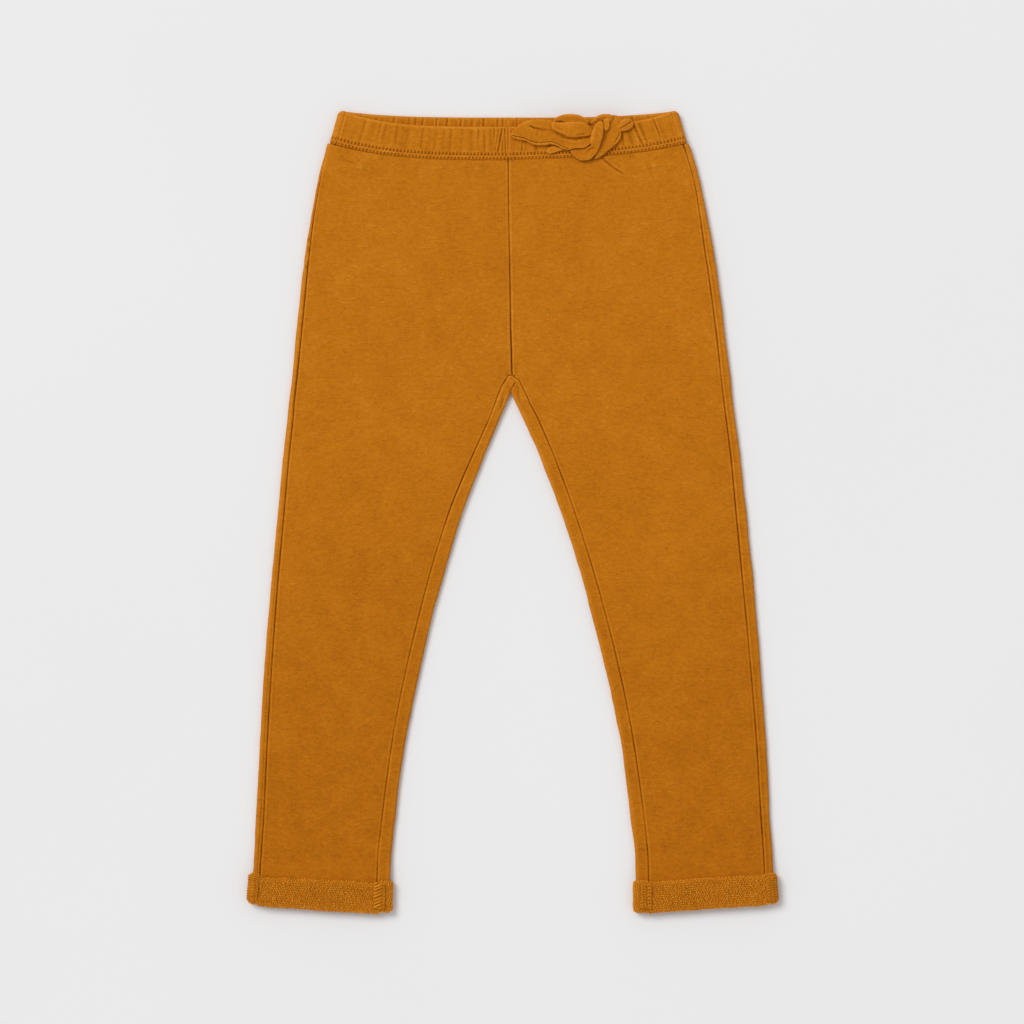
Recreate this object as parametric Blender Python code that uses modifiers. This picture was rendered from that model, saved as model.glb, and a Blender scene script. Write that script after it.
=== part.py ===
"""A child's leggings in French terry, laid flat on their back with the legs a little apart.

The cloth is built the way the garment is sewn. Two back panels lie on the surface and roll round the
outer and inner edges of each leg onto the front, where they meet two narrower front panels. A casing with
elastic in it closes the waist, the leg ends are turned up into cuffs that show the looped wrong side and the
overlocked seam allowances, and a bow knotted from a tube of the same cloth sits on the waistband.

+Z is up from the surface, +Y runs from the hems to the waist, and +X is the wearer's left. The origin is on
the surface, under the middle of the garment. Every size below is in millimetres.
"""

import math

import bpy
import numpy as np

MM = 0.001

# Thicknesses
CLOTH = 1.2  # one layer of French terry
CASING = 2.8  # two layers of cloth with the elastic between them
CUFF = 1.6  # the turned-up layer, with its loops outwards
ALLOWANCE = 1.0  # an overlocked seam allowance that lies on a cuff
GAP = 0.3  # kept between two pieces that are sewn together

# Seams
SEAM_ROLL = 1.3  # how far from a seam the cloth starts to roll down into it
SEAM_DIP = 0.5  # how far it rolls down
BACK_RISE = 6.2  # how much higher the back of the waist is cut than the front

# Waistband
BAND_SIDE_LOW, BAND_SIDE_HIGH = 116.3, 110.2  # half its width, at its lower and its upper edge
BAND_END_Y = 261.2  # its top edge at the side folds
BAND_FRONT_Y, BAND_BACK_Y = 250.2, 256.4  # its top edges at the centre, front and back
BAND_SAG = 3.1  # how late the edges turn up towards the sides
BAND_SEAM = 4.6  # from the side fold to the side seam
GATHERS = 14  # in each quarter of the band
GATHER_HEIGHT = 0.45

# Cuffs
HEM_ROUND = (CUFF + GAP + CLOTH) / 2  # outer radius of the fold at the bottom
CUFF_EDGE = 0.4  # rounding of the upper edge
ALLOWANCE_SPAN = {"inner": (-2.0, 5.4), "outer": (0.3, 6.3)}  # from the seam, towards the fold
ALLOWANCE_INSET = 0.9  # from the upper and lower edges of the cuff

# Mesh density
FOLD_STEPS = 4
BACK_COLUMNS = 6
FRONT_COLUMNS = 7
ALLOWANCE_COLUMNS = 6
POINTS_PER_GATHER = 4
BOW_STEPS = 2
BOW_ROUND = 10

FACE_COLOUR = (0.47, 0.165, 0.013)
LOOP_COLOUR = (0.50, 0.19, 0.018)
THREAD_COLOUR = (0.56, 0.23, 0.022)

# Sections across one half of the garment, from the waist down. Each runs from the centre line or the inner
# fold (mid_x, mid_y) to the outer fold (side_x, side_y), and x is measured from the garment's centre line.
# inseam and outseam are how far in from the folds the seams lie on the front. under and over are the heights
# of the underside and the top, crown is how much the front swells, and sag bends the section's line.
COLUMNS = (
    "side_x", "side_y", "mid_x", "mid_y", "inseam", "outseam_right", "outseam_left",
    "centre", "under", "over", "crown", "sag",
)
SECTIONS = (
    (117.9, 239.5, 0.00, 228.3, 0.0, 4.0, 4.2, -2.7, 0.0, 5.9, 0.0, 3.1),  # lower edge of the waistband
    (119.6, 232.3, 0.00, 222.0, 0.0, 3.9, 4.1, -2.6, 0.0, 5.6, 0.2, 3.1),
    (123.4, 218.1, 0.00, 209.4, 0.0, 3.6, 4.4, -2.5, 0.0, 5.1, 0.5, 2.6),
    (128.0, 196.3, 0.00, 190.1, 0.0, 3.4, 5.2, -2.3, 0.0, 4.8, 0.7, 2.0),  # hip
    (133.6, 163.8, 0.00, 161.0, 0.0, 3.4, 5.8, -1.7, 0.0, 4.6, 0.8, 2.0),
    (138.5, 124.8, 0.00, 124.2, 0.0, 3.4, 5.8, -1.2, 0.0, 4.4, 0.8, 1.5),
    (142.5, 87.5, 0.00, 87.5, 0.0, 3.4, 5.9, -0.9, 0.0, 4.2, 0.8, 1.0),  # top of the crotch, on the front
    (143.0, 83.4, 0.00, 83.4, 5.0, 3.4, 5.9, -0.9, 0.0, 4.2, 0.8, 1.0),
    (143.5, 78.4, 0.35, 77.4, 7.4, 3.4, 5.9, -0.9, 0.0, 4.2, 0.8, 1.0),  # where the legs part
    (144.2, 72.8, 2.60, 72.8, 8.3, 3.4, 5.9, -0.9, 0.0, 4.2, 0.8, 1.0),
    (145.6, 59.8, 8.10, 59.8, 8.5, 3.6, 5.9, -0.7, 0.0, 4.1, 0.8, 1.0),  # thigh
    (148.9, 33.8, 18.9, 33.8, 8.6, 3.9, 6.2, -0.4, 0.0, 4.0, 0.8, 1.0),
    (152.1, 1.30, 31.2, 1.30, 8.7, 4.2, 6.5, -0.3, 0.0, 4.0, 0.8, 1.0),
    (156.7, -44.2, 45.5, -44.2, 8.7, 4.5, 7.0, -0.1, 0.0, 4.0, 0.8, 1.0),  # knee
    (160.9, -96.2, 58.8, -96.2, 8.8, 4.6, 6.6, 0.1, 0.0, 4.0, 0.8, 1.0),
    (164.5, -147.4, 69.9, -149.0, 8.3, 5.0, 6.2, 0.3, 0.0, 4.0, 0.8, 1.0),  # calf
    (167.1, -198.4, 77.0, -202.0, 8.4, 5.1, 5.9, 0.4, 0.0, 4.2, 0.6, 1.0),
    (168.4, -219.5, 79.3, -224.0, 8.3, 5.0, 5.7, 0.4, 0.4, 4.5, 0.3, 1.0),
    (169.1, -235.3, 79.9, -240.2, 8.3, 4.8, 5.5, 0.3, 1.9, 5.7, 0.0, 1.0),  # upper edge of the cuff
    (170.6, -254.5, 80.3, -260.6, 8.3, 4.8, 5.5, 0.3, 1.9, 5.7, 0.0, 1.0),  # fold at the hem
)
CROTCH_TOP, LEGS_PART, BELOW_CROTCH, CUFF_TOP, HEM = 6, 8, 9, 18, 19
CUFF_HEIGHT = math.dist(SECTIONS[CUFF_TOP][:2], SECTIONS[HEM][:2])
SIDES = {"right": -1, "left": 1}  # the wearer's right is at -X

# The bow, as flattened tubes of cloth along a path: x and y from the garment's middle, the height of the
# tube's own middle, half its width and half its thickness.
BOW = {
    "bow_stub": (
        (22.5, 234.4, 7.3, 0.7, 0.6),
        (24.6, 234.4, 7.5, 1.9, 0.9),
        (28.3, 234.2, 7.5, 1.5, 0.8),
        (31.4, 234.0, 7.3, 0.5, 0.5),
    ),
    "bow_loop_back": (
        (28.3, 253.2, 7.2, 1.5, 1.0),
        (32.2, 253.9, 7.3, 3.7, 1.3),
        (38.0, 253.5, 7.5, 4.8, 1.4),
        (43.9, 253.2, 7.5, 4.4, 1.3),
        (48.9, 252.4, 7.4, 2.2, 1.0),
    ),
    "bow_tail_left": (
        (-1.0, 244.7, 7.3, 0.8, 0.5),
        (2.9, 245.6, 7.7, 3.7, 1.0),
        (8.8, 246.7, 8.0, 6.3, 1.3),
        (14.6, 246.4, 8.1, 8.0, 1.4),
        (22.6, 245.9, 8.1, 7.6, 1.4),
        (28.4, 243.4, 8.1, 6.4, 1.4),
        (33.6, 241.0, 8.1, 5.4, 1.4),
        (39.6, 239.5, 8.1, 4.2, 1.4),
        (45.6, 240.1, 8.0, 3.1, 1.3),
        (49.4, 241.2, 7.9, 1.8, 1.0),
    ),
    "bow_loop_left": (
        (25.9, 250.7, 10.3, 1.3, 1.0),
        (28.6, 249.8, 11.0, 3.1, 1.6),
        (32.8, 248.6, 11.3, 4.4, 1.9),
        (38.2, 247.7, 11.2, 5.3, 2.1),
        (43.9, 247.6, 11.1, 5.2, 2.1),
        (48.0, 247.6, 10.7, 4.1, 1.7),
        (50.0, 247.4, 10.3, 2.0, 1.1),
    ),
    "bow_loop_right": (
        (51.5, 252.3, 7.5, 1.2, 1.0),
        (54.3, 254.9, 7.9, 2.4, 1.3),
        (59.4, 255.9, 8.9, 2.7, 1.5),
        (64.0, 255.2, 10.1, 2.3, 1.3),
        (66.4, 253.0, 10.5, 1.2, 0.9),
    ),
    "bow_tail_right": (
        (55.9, 230.6, 7.5, 1.0, 0.8),
        (59.0, 235.0, 8.0, 3.8, 1.3),
        (63.0, 240.8, 8.2, 5.0, 1.4),
        (65.6, 246.7, 8.2, 5.4, 1.5),
        (68.2, 250.8, 8.1, 4.8, 1.4),
        (72.5, 252.9, 7.9, 3.8, 1.2),
        (76.5, 252.4, 7.7, 2.6, 1.0),
        (78.7, 251.9, 7.4, 1.0, 0.6),
    ),
    "bow_knot": (
        (57.6, 253.2, 10.8, 2.0, 1.0),
        (56.2, 249.9, 11.0, 3.8, 1.6),
        (54.9, 246.0, 11.2, 4.3, 1.8),
        (54.0, 241.8, 11.1, 4.5, 1.8),
        (52.3, 237.6, 10.5, 4.7, 1.8),
        (49.2, 233.4, 9.3, 4.5, 1.7),
        (45.0, 231.3, 8.2, 3.3, 1.6),
        (41.0, 231.8, 7.6, 2.0, 1.3),
        (38.4, 232.9, 7.2, 0.8, 0.8),
    ),
}


def along(values, at):
    """The value of a column at a fractional row, on a smooth curve that never overshoots its rows."""
    steps = np.diff(values)
    slopes = np.zeros(len(values))
    slopes[0], slopes[-1] = steps[0], steps[-1]
    for i in range(1, len(values) - 1):
        before, after = steps[i - 1], steps[i]
        if before * after > 0:
            slopes[i] = 2 * before * after / (before + after)
    i = min(int(at), len(values) - 2)
    t = at - i
    return (
        values[i] * (1 + 2 * t) * (1 - t) ** 2
        + slopes[i] * t * (1 - t) ** 2
        + values[i + 1] * t * t * (3 - 2 * t)
        + slopes[i + 1] * t * t * (t - 1)
    )


def column(name):
    return np.array([row[COLUMNS.index(name)] for row in SECTIONS], float)


def between(start, end, share):
    return start + (end - start) * share


def shares(count, first=0):
    """Even steps from 0 to 1, from the one numbered first."""
    return [k / count for k in range(first, count + 1)]


def fold_angles(first=0):
    """Angles round the edge of a flattened tube, from its underside to its top."""
    return [math.pi * (share - 0.5) for share in shares(FOLD_STEPS, first)]


class Section:
    """A section across one half of the garment, at a fractional row of SECTIONS.

    Its plan points are measured from the garment's centre line and its outline is a flattened tube, offset
    outwards where a cuff or an allowance lies on it.
    """

    def __init__(self, side, row, back=False):
        for name in COLUMNS:
            setattr(self, name, along(column(name), row))
        self.sign = SIDES[side]
        self.outseam = self.outseam_right if side == "right" else self.outseam_left
        self.round = (self.over - self.under) / 2
        self.middle = (self.over + self.under) / 2
        if back:
            self.mid_y += BACK_RISE * max(0.0, 1 - row / 3) ** 2
        self.parted = row >= LEGS_PART
        self.side_normal = self.normal(row, "side_x", "side_y", 1)
        self.mid_normal = self.normal(row, "mid_x", "mid_y", -1)
        if row == LEGS_PART:
            self.mid_normal = np.array((0.0, -1.0))
        self.start = np.array((max(self.mid_x, GAP / 2), self.mid_y))
        if self.parted:
            self.start = self.start - self.round * self.mid_normal
        self.end = np.array((self.side_x, self.side_y)) - self.round * self.side_normal

    @staticmethod
    def normal(row, x, y, way):
        """The direction out of a fold in plan, from the fold's line a little above and below this row."""
        above, below = max(row - 0.25, 0), min(row + 0.25, HEM)
        run = np.array([along(column(name), below) - along(column(name), above) for name in (x, y)])
        return way * np.array((-run[1], run[0])) / np.hypot(*run)

    def plan(self, x):
        """The plan point at a distance x from the centre line, on the section's own line."""
        share = (x - self.start[0]) / (self.end[0] - self.start[0])
        bend = math.copysign(abs(share) ** self.sag, share)
        return np.array((x, between(self.start[1], self.end[1], bend)))

    def place(self, plan, z):
        return (self.centre + self.sign * plan[0], plan[1], z)

    def fold(self, corner, normal, angles, offset=0.0):
        """Points round a fold, offset outwards from the cloth."""
        reach = self.round + offset
        return [
            self.place(corner + reach * math.cos(a) * normal, self.middle + reach * math.sin(a))
            for a in angles
        ]

    def seam(self, edge):
        """The plan point of the front panel's edge, on the outer or the inner seam."""
        if edge == "outer":
            return self.plan(self.side_x - self.outseam - GAP / 2)
        return self.plan(max(self.mid_x + self.inseam, GAP) - GAP / 2)

    def strip(self, corner, seam, dip=SEAM_DIP):
        """The back panel's strip on the front, from the top of a fold to a seam, rolling down at the seam."""
        run = corner - seam
        width = np.hypot(*run)
        edge = seam + run * GAP / width
        roll = min(SEAM_ROLL, 0.6 * (width - GAP))
        dip = dip * (roll / SEAM_ROLL) ** 2
        return [
            self.place(edge + run * roll * share / width, self.over - dip * (1 - share) ** 2)
            for share in (1, 0.45, 0)
        ]

    def ring(self, offset):
        """The whole outline of a leg, offset outwards."""
        under = [
            self.place(self.plan(between(self.start[0], self.end[0], share)), self.under - offset)
            for share in shares(BACK_COLUMNS)
        ]
        over = [
            self.place(self.plan(between(self.end[0], self.start[0], share)), self.over + offset)
            for share in shares(BACK_COLUMNS)
        ]
        outer = self.fold(self.end, self.side_normal, fold_angles(1)[:-1], offset)
        inner = self.fold(self.start, self.mid_normal, fold_angles(1)[:-1][::-1], offset)
        return under + outer + over + inner

    def past_seam(self, edge, distance, offset):
        """A point on the front, a distance past a seam and towards or round the fold beyond it."""
        corner, normal = (self.end, self.side_normal) if edge == "outer" else (self.start, self.mid_normal)
        seam = self.seam(edge)
        flat = np.hypot(*(corner - seam))
        if distance <= flat:
            return self.place(between(seam, corner, distance / flat), self.over + offset)
        angle = math.pi / 2 - (distance - flat) / self.round
        return self.fold(corner, normal, [angle], offset)[0]


def row_at(distance_above_hem):
    """The row that lies a distance up the leg from the fold at the hem."""
    return HEM - distance_above_hem / CUFF_HEIGHT


def rows_down():
    """The rows that the panels share: each section, halfway ones down the legs, and the end of the leg."""
    rows = [float(row) for row in range(BELOW_CROTCH)]
    rows += [BELOW_CROTCH + half / 2 for half in range(2 * (HEM - BELOW_CROTCH))]
    end = row_at(HEM_ROUND + GAP)
    return [row for row in rows if row < end - 0.3] + [end]


def material(name, colour, roughness):
    made = bpy.data.materials.new(name)
    made.use_nodes = True
    shader = made.node_tree.nodes["Principled BSDF"]
    shader.inputs["Base Color"].default_value = (*colour, 1)
    shader.inputs["Roughness"].default_value = roughness
    shader.inputs["Metallic"].default_value = 0
    return made


def add_object(name, points, faces, finish):
    mesh = bpy.data.meshes.new(name)
    mesh.from_pydata([[c * MM for c in point] for point in points], [], faces)
    mesh.update()
    mesh.materials.append(finish)
    mesh.shade_smooth()
    made = bpy.data.objects.new(name, mesh)
    LEGGINGS.objects.link(made)
    return made


def panel(name, grid, side):
    """A wall of cloth under a grid of surface points. A point that is None is left out, with its faces."""
    index, points, faces = {}, [], []
    for r, row in enumerate(grid):
        for c, point in enumerate(row):
            if point is not None:
                index[r, c] = len(points)
                points.append(point)
    for r, row in enumerate(grid[:-1]):
        for c in range(len(row) - 1):
            corners = [(r, c), (r, c + 1), (r + 1, c + 1), (r + 1, c)]
            if all(corner in index for corner in corners):
                face = [index[corner] for corner in corners]
                faces.append(face[::-1] if side == "right" else face)
    made = add_object(name, points, faces, FACE)
    wall = made.modifiers.new("wall", "SOLIDIFY")
    wall.thickness = CLOTH * MM
    wall.offset = -1
    wall.use_even_offset = True
    return made


def loft(name, sections, finish, closed=False):
    """A solid through closed sections with the same number of points, capped unless it closes on itself."""
    count = len(sections[0])
    points = [point for section in sections for point in section]
    faces = []
    for i in range(len(sections) if closed else len(sections) - 1):
        here, there = i * count, (i + 1) % len(sections) * count
        for k in range(count):
            following = (k + 1) % count
            faces.append((here + k, here + following, there + following, there + k))
    if not closed:
        faces.append(tuple(range(count))[::-1])
        faces.append(tuple(range(len(points) - count, len(points))))
    volume = sum(
        np.dot(points[face[0]], np.cross(points[face[k]], points[face[k + 1]]))
        for face in faces
        for k in range(1, len(face) - 1)
    )
    if volume < 0:
        faces = [face[::-1] for face in faces]
    return add_object(name, points, faces, finish)


def front_panel(side):
    """Lies on top, from the centre-front seam or the inseam to the side seam."""
    grid = []
    for row in rows_down():
        section = Section(side, row)
        inner, outer = section.seam("inner"), section.seam("outer")
        width = outer[0] - inner[0]
        roll = SEAM_ROLL / width
        steps = [0, 0.45 * roll] + [between(roll, 1 - roll, s) for s in shares(FRONT_COLUMNS)]
        line = []
        for share in steps + [1 - 0.45 * roll, 1]:
            swell = section.crown * (1 - (2 * share - 1) ** 4)
            edge = max(0.0, 1 - min(share, 1 - share) / roll)
            height = section.over + swell - SEAM_DIP * edge**2
            line.append(section.place(section.plan(between(inner[0], outer[0], share)), height))
        grid.append(line)
    panel(f"front_{side}", grid, "left" if side == "right" else "right")


def back_panel(side):
    """Lies on the surface and rolls round both edges of the leg, up to the seams on the front."""
    fan = [LEGS_PART + k / 3 for k in (1, 2)]
    grid = []
    for row in sorted(rows_down() + fan):
        section = Section(side, row, back=True)
        left_out = [None] * (FOLD_STEPS + 3)
        wrap = left_out
        if section.parted:
            seam = section.seam("inner")
            dip = SEAM_DIP
            if row < BELOW_CROTCH:
                seam = Section(side, CROTCH_TOP + 3 * (row - LEGS_PART)).seam("inner")
            if row == LEGS_PART:
                seam = seam + (GAP, 0)
                dip = 0
            fold = section.fold(section.start, section.mid_normal, fold_angles(1))
            wrap = (fold + section.strip(section.start, seam, dip))[::-1]
        centre_roll = 0.0 if section.parted else SEAM_DIP
        line = list(wrap)
        for distance in (0, 0.45 * SEAM_ROLL, SEAM_ROLL):
            dip = centre_roll * (1 - distance / SEAM_ROLL) ** 2
            line.append(section.place(section.plan(section.start[0] + distance), section.under + dip))
        flat = section.start[0] + SEAM_ROLL
        for share in shares(BACK_COLUMNS, 1):
            line.append(section.place(section.plan(between(flat, section.end[0], share)), section.under))
        line += section.fold(section.end, section.side_normal, fold_angles(1))
        line += section.strip(section.end, section.seam("outer"))
        grid.append(line)
    panel(f"back_{side}", grid, side)


def band_edges(side, layer):
    """The band's lower and upper edges in plan, as functions of the share of the way to the side fold."""
    body = Section(side, 0, back=layer == "back")
    radius = CASING + GAP / 2
    top = BAND_BACK_Y if layer == "back" else BAND_FRONT_Y
    low_end = np.array((BAND_SIDE_LOW, body.side_y + GAP))
    high_end = np.array((BAND_SIDE_HIGH, BAND_END_Y))
    run = high_end - low_end
    out = np.array((run[1], -run[0])) / np.hypot(*run)
    low_end = low_end - radius * out
    high_end = high_end - radius * out

    def edge(end, middle_y):
        return lambda share: np.array(
            (between(GAP / 2, end[0], share), between(middle_y, end[1], share**BAND_SAG))
        )

    return edge(low_end, body.mid_y + GAP), edge(high_end, top), out


def casing_profile(height):
    """A casing's section: how far up, how deep, and how much of a gather's height each point takes."""
    bend = CASING / 2 / height
    return (
        (0, 0, 0.4),
        (0.5, 0, 1),
        (1 - bend, 0, 1),
        (1 - 0.3 * bend, 0.15, 0.7),
        (1 - 0.3 * bend, 0.85, 0),
        (1 - bend, 1, 0),
        (0, 1, 0),
    )


def gather(number, share):
    """The height of the band's surface in a gather. Each gather has its own strength."""
    strength = 0.65 + 0.35 * math.cos(1.9 * number)
    return GATHER_HEIGHT * strength * (0.5 - 0.5 * math.cos(2 * math.pi * share))


def band(side, layer):
    """A quarter of the waistband. The back one wraps round the side fold to the seam on the front."""
    low, high, out = band_edges(side, layer)
    radius = CASING + GAP / 2
    centre = Section(side, 0).centre
    sign = SIDES[side]
    seam = 1 - (BAND_SEAM - radius) / low(1)[0]
    gap = GAP / 2 / low(1)[0]
    stations = []
    steps = GATHERS * POINTS_PER_GATHER
    for k in range(steps + 1):
        end = 1 if layer == "back" else seam - gap
        wave = gather(k // POINTS_PER_GATHER, k % POINTS_PER_GATHER / POINTS_PER_GATHER)
        angle = -math.pi / 2 if layer == "back" else math.pi / 2
        stations.append((between(0, end, k / steps), angle, wave))
    if layer == "back":
        stations += [(1, angle, 0) for angle in fold_angles(1)]
        stations.append((seam + gap, math.pi / 2, 0))
    sections = []
    for share, angle, wave in stations:
        section = []
        for up, depth, lift in casing_profile(high(share)[1] - low(share)[1]):
            if layer == "front":
                inset = depth * CASING - lift * wave
            else:
                inset = depth * CASING - (wave if depth > 0.5 and up > 0 else 0)
            reach = radius - inset
            plan = between(low(share), high(share), up) + reach * math.cos(angle) * out
            section.append((centre + sign * plan[0], plan[1], radius + reach * math.sin(angle)))
        sections.append(section)
    loft(f"band_{layer}_{side}", sections, FACE)


def cuff(side):
    """The turned-up leg end: a ring whose section is a hook, open upwards round the end of the leg's wall."""
    outside, inside = GAP + CUFF, -CLOTH
    hook = [(CUFF_HEIGHT, GAP), (CUFF_HEIGHT, outside - CUFF_EDGE), (CUFF_HEIGHT - CUFF_EDGE, outside)]
    for share in shares(4):
        angle = math.pi * share
        turn = (outside + inside) / 2 + HEM_ROUND * math.cos(angle)
        hook.append((HEM_ROUND * (1 - math.sin(angle)), turn))
    for share in shares(2):
        angle = math.pi * (1 - share)
        hook.append((HEM_ROUND - GAP / 2 * math.sin(angle), GAP / 2 * (1 + math.cos(angle))))
    sections = [Section(side, row_at(distance)).ring(offset) for distance, offset in hook]
    loft(f"cuff_{side}", sections, LOOPS, closed=True)


def allowance(side, edge):
    """The overlocked allowance of a seam, standing on the cuff and pressed towards the back."""
    first, last = ALLOWANCE_SPAN[edge]
    low = GAP + CUFF + GAP
    high = low + ALLOWANCE
    width = last - first
    outline = [(first + width * share, low) for share in shares(ALLOWANCE_COLUMNS)]
    outline += [(between(last, first, between(0.06, 0.94, share)), high) for share in shares(ALLOWANCE_COLUMNS)]
    sections = []
    for share in shares(4):
        distance = between(CUFF_HEIGHT - ALLOWANCE_INSET, HEM_ROUND + ALLOWANCE_INSET, share)
        section = Section(side, row_at(distance))
        sections.append([section.past_seam(edge, along_front, offset) for along_front, offset in outline])
    loft(f"allowance_{side}_{edge}", sections, THREAD)


def bow_piece(name):
    """A flattened tube along its path. It lies level across its width and follows the path's rise."""
    table = np.array(BOW[name])
    last = len(table) - 1
    stops = [k / BOW_STEPS for k in range(last * BOW_STEPS + 1)]

    def at(stop):
        return np.array([along(table[:, c], stop) for c in range(5)])

    sections = []
    for stop in stops:
        x, y, z, half_width, half_height = at(stop)
        run = at(min(stop + 0.3, last))[:3] - at(max(stop - 0.3, 0))[:3]
        run = run / np.linalg.norm(run)
        across = np.cross((0, 0, 1), run)
        across = across / np.linalg.norm(across)
        up = np.cross(run, across)
        section = []
        for k in range(BOW_ROUND):
            a = 2 * math.pi * k / BOW_ROUND
            section.append(
                np.array((x, y, z)) + half_width * math.cos(a) * across + half_height * math.sin(a) * up
            )
        sections.append(section)
    loft(name, sections, FACE)


for old in list(bpy.data.objects):
    bpy.data.objects.remove(old)

LEGGINGS = bpy.data.collections.new("leggings")
bpy.context.scene.collection.children.link(LEGGINGS)

FACE = material("terry_face", FACE_COLOUR, 0.85)
LOOPS = material("terry_loops", LOOP_COLOUR, 0.95)
THREAD = material("thread", THREAD_COLOUR, 0.7)

for side in SIDES:
    front_panel(side)
    back_panel(side)
    for layer in ("front", "back"):
        band(side, layer)
    cuff(side)
    for edge in ("outer", "inner"):
        allowance(side, edge)
for name in BOW:
    bow_piece(name)
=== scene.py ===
"""A child's leggings in garment-dyed French terry, laid flat on a pale table and seen from straight above.

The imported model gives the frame. Each piece of cloth is made again here as a finer shell on its solid's form,
with its seams, gathers and creases, then the loops of the turned-up cuffs, the sewing and the bow are added.
Sizes are in millimetres, in the garment's own frame: +Y runs to the waist and +X is the wearer's left.
"""

import math

import bmesh
import bpy
import numpy as np
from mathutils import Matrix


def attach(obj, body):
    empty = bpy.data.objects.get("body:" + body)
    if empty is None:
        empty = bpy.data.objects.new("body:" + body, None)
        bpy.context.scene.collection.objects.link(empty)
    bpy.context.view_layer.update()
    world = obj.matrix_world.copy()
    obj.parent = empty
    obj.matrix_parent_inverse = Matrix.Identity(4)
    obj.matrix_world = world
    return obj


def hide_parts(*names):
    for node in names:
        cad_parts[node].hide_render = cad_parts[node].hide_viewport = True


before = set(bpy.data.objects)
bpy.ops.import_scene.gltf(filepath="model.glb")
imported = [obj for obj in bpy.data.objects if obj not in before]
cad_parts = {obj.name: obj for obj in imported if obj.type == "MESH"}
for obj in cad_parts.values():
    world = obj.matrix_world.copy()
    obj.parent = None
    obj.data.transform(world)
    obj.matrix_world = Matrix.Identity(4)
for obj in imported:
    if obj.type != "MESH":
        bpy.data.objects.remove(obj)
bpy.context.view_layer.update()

MM = 0.001


# -------------------------------------------------------------------------------------------- The table
# A plain pale table top that carries the garment, in matt paint. It is one flat sheet, and it isn't a part
# of the leggings. The light is one large soft lamp above the left of the waist and even light all round.
TABLE_SIZE = 8000
TABLE_DROP = -0.2  # so that the cloth and the table never share a plane
TABLE_COLOUR = (0.812, 0.809, 0.811)
LAMP_PLACE = (-12000, 10800, 20000)
LAMP_SIZE = 14000
LAMP_POWER = 3850
SURROUND = 0.595
PICTURE_WIDTH = 665.6  # what the picture shows across, at the height of the cloth
PICTURE_CENTRE = (-0.3, -0.3, 5)
CAMERA_HEIGHT = 3000
SENSOR = 36


def put(name, data):
    """A new object in the scene."""
    made = bpy.data.objects.new(name, data)
    bpy.context.scene.collection.objects.link(made)
    return made


def sign(operation, turned=False):
    """The method for a sign between two values, or for one that has a number in front of it."""

    def result(self, other):
        return self.board.maths(operation, *((other, self) if turned else (self, other)))

    return result


class Value:
    """A socket's value. Each sign between two of them, or one and a number, adds a Math node."""

    __add__, __radd__ = sign("ADD"), sign("ADD", turned=True)
    __sub__, __rsub__ = sign("SUBTRACT"), sign("SUBTRACT", turned=True)
    __mul__, __truediv__ = sign("MULTIPLY"), sign("DIVIDE")

    def __init__(self, board, socket):
        self.board = board
        self.socket = socket


class Board:
    """A node tree, for a finish or for a piece that repeats, with one method that adds any node."""

    def __init__(self, tree):
        self.tree = tree

    def node(self, kind, inputs=None, output=0, stops=(), **settings):
        """Adds a node, makes its settings, then sets or links its sockets, and gives one output's value."""
        node = self.tree.nodes.new(kind)
        for name, setting in settings.items():
            setattr(node, name, setting)
        if stops:
            for _ in stops[2:]:
                node.color_ramp.elements.new(1)
            for element, (position, colour) in zip(node.color_ramp.elements, stops):
                element.position = position
                element.color = (*colour, 1)
        for key, value in (inputs or {}).items():
            if isinstance(value, Value):
                self.tree.links.new(value.socket, node.inputs[key])
            else:
                node.inputs[key].default_value = value
        return Value(self, node.outputs[output]) if len(node.outputs) else node

    def maths(self, operation, *values):
        return self.node("ShaderNodeMath", dict(enumerate(values)), operation=operation)

    def finish_with(self, tone, shades, roughness, height, strength, distance, **more):
        """The surface: a tone's shade, a roughness, and a relief of so much distance, then the output."""
        relief = {"Height": height, "Strength": strength, "Distance": distance}
        inputs = {
            "Base Color": self.node("ShaderNodeValToRGB", {"Fac": tone}, stops=shades),
            "Roughness": roughness,
            "Normal": self.node("ShaderNodeBump", relief),
            **{name.replace("_", " "): value for name, value in more.items()},
        }
        shader = self.node("ShaderNodeBsdfPrincipled", inputs)
        self.node("ShaderNodeOutputMaterial", {"Surface": shader})


def new_finish(name):
    """A material with an empty node tree, as a board."""
    made = bpy.data.materials.new(name)
    made.use_nodes = True
    made.node_tree.nodes.clear()
    return made, Board(made.node_tree)


def painted_table():
    finish, board = new_finish("painted_table")
    place = board.node("ShaderNodeTexCoord", output=3)
    cloud = board.node("ShaderNodeTexNoise", {"Vector": place, "Scale": 2.5, "Detail": 3.0})
    grain = board.node("ShaderNodeTexNoise", {"Vector": place, "Scale": 900.0, "Detail": 2.0})
    shades = (0.3, [0.985 * c for c in TABLE_COLOUR]), (0.7, TABLE_COLOUR)
    board.finish_with(cloud, shades, 0.85, grain, 0.05, 0.0002)
    return finish


half = TABLE_SIZE / 2 * MM
table_mesh = bpy.data.meshes.new("table")
corners = (-half, -half, 0), (half, -half, 0), (half, half, 0), (-half, half, 0)
table_mesh.from_pydata(corners, [], [(0, 1, 2, 3)])
table_mesh.materials.append(painted_table())
table = put("table", table_mesh)
table.location.z = TABLE_DROP * MM

lamp_data = bpy.data.lights.new("lamp", "AREA")
lamp_data.shape = "DISK"
lamp_data.size = LAMP_SIZE * MM
lamp_data.energy = LAMP_POWER
lamp = put("lamp", lamp_data)
lamp.location = [c * MM for c in LAMP_PLACE]
lamp.rotation_euler = (-lamp.location).to_track_quat("-Z", "Y").to_euler()

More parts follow.
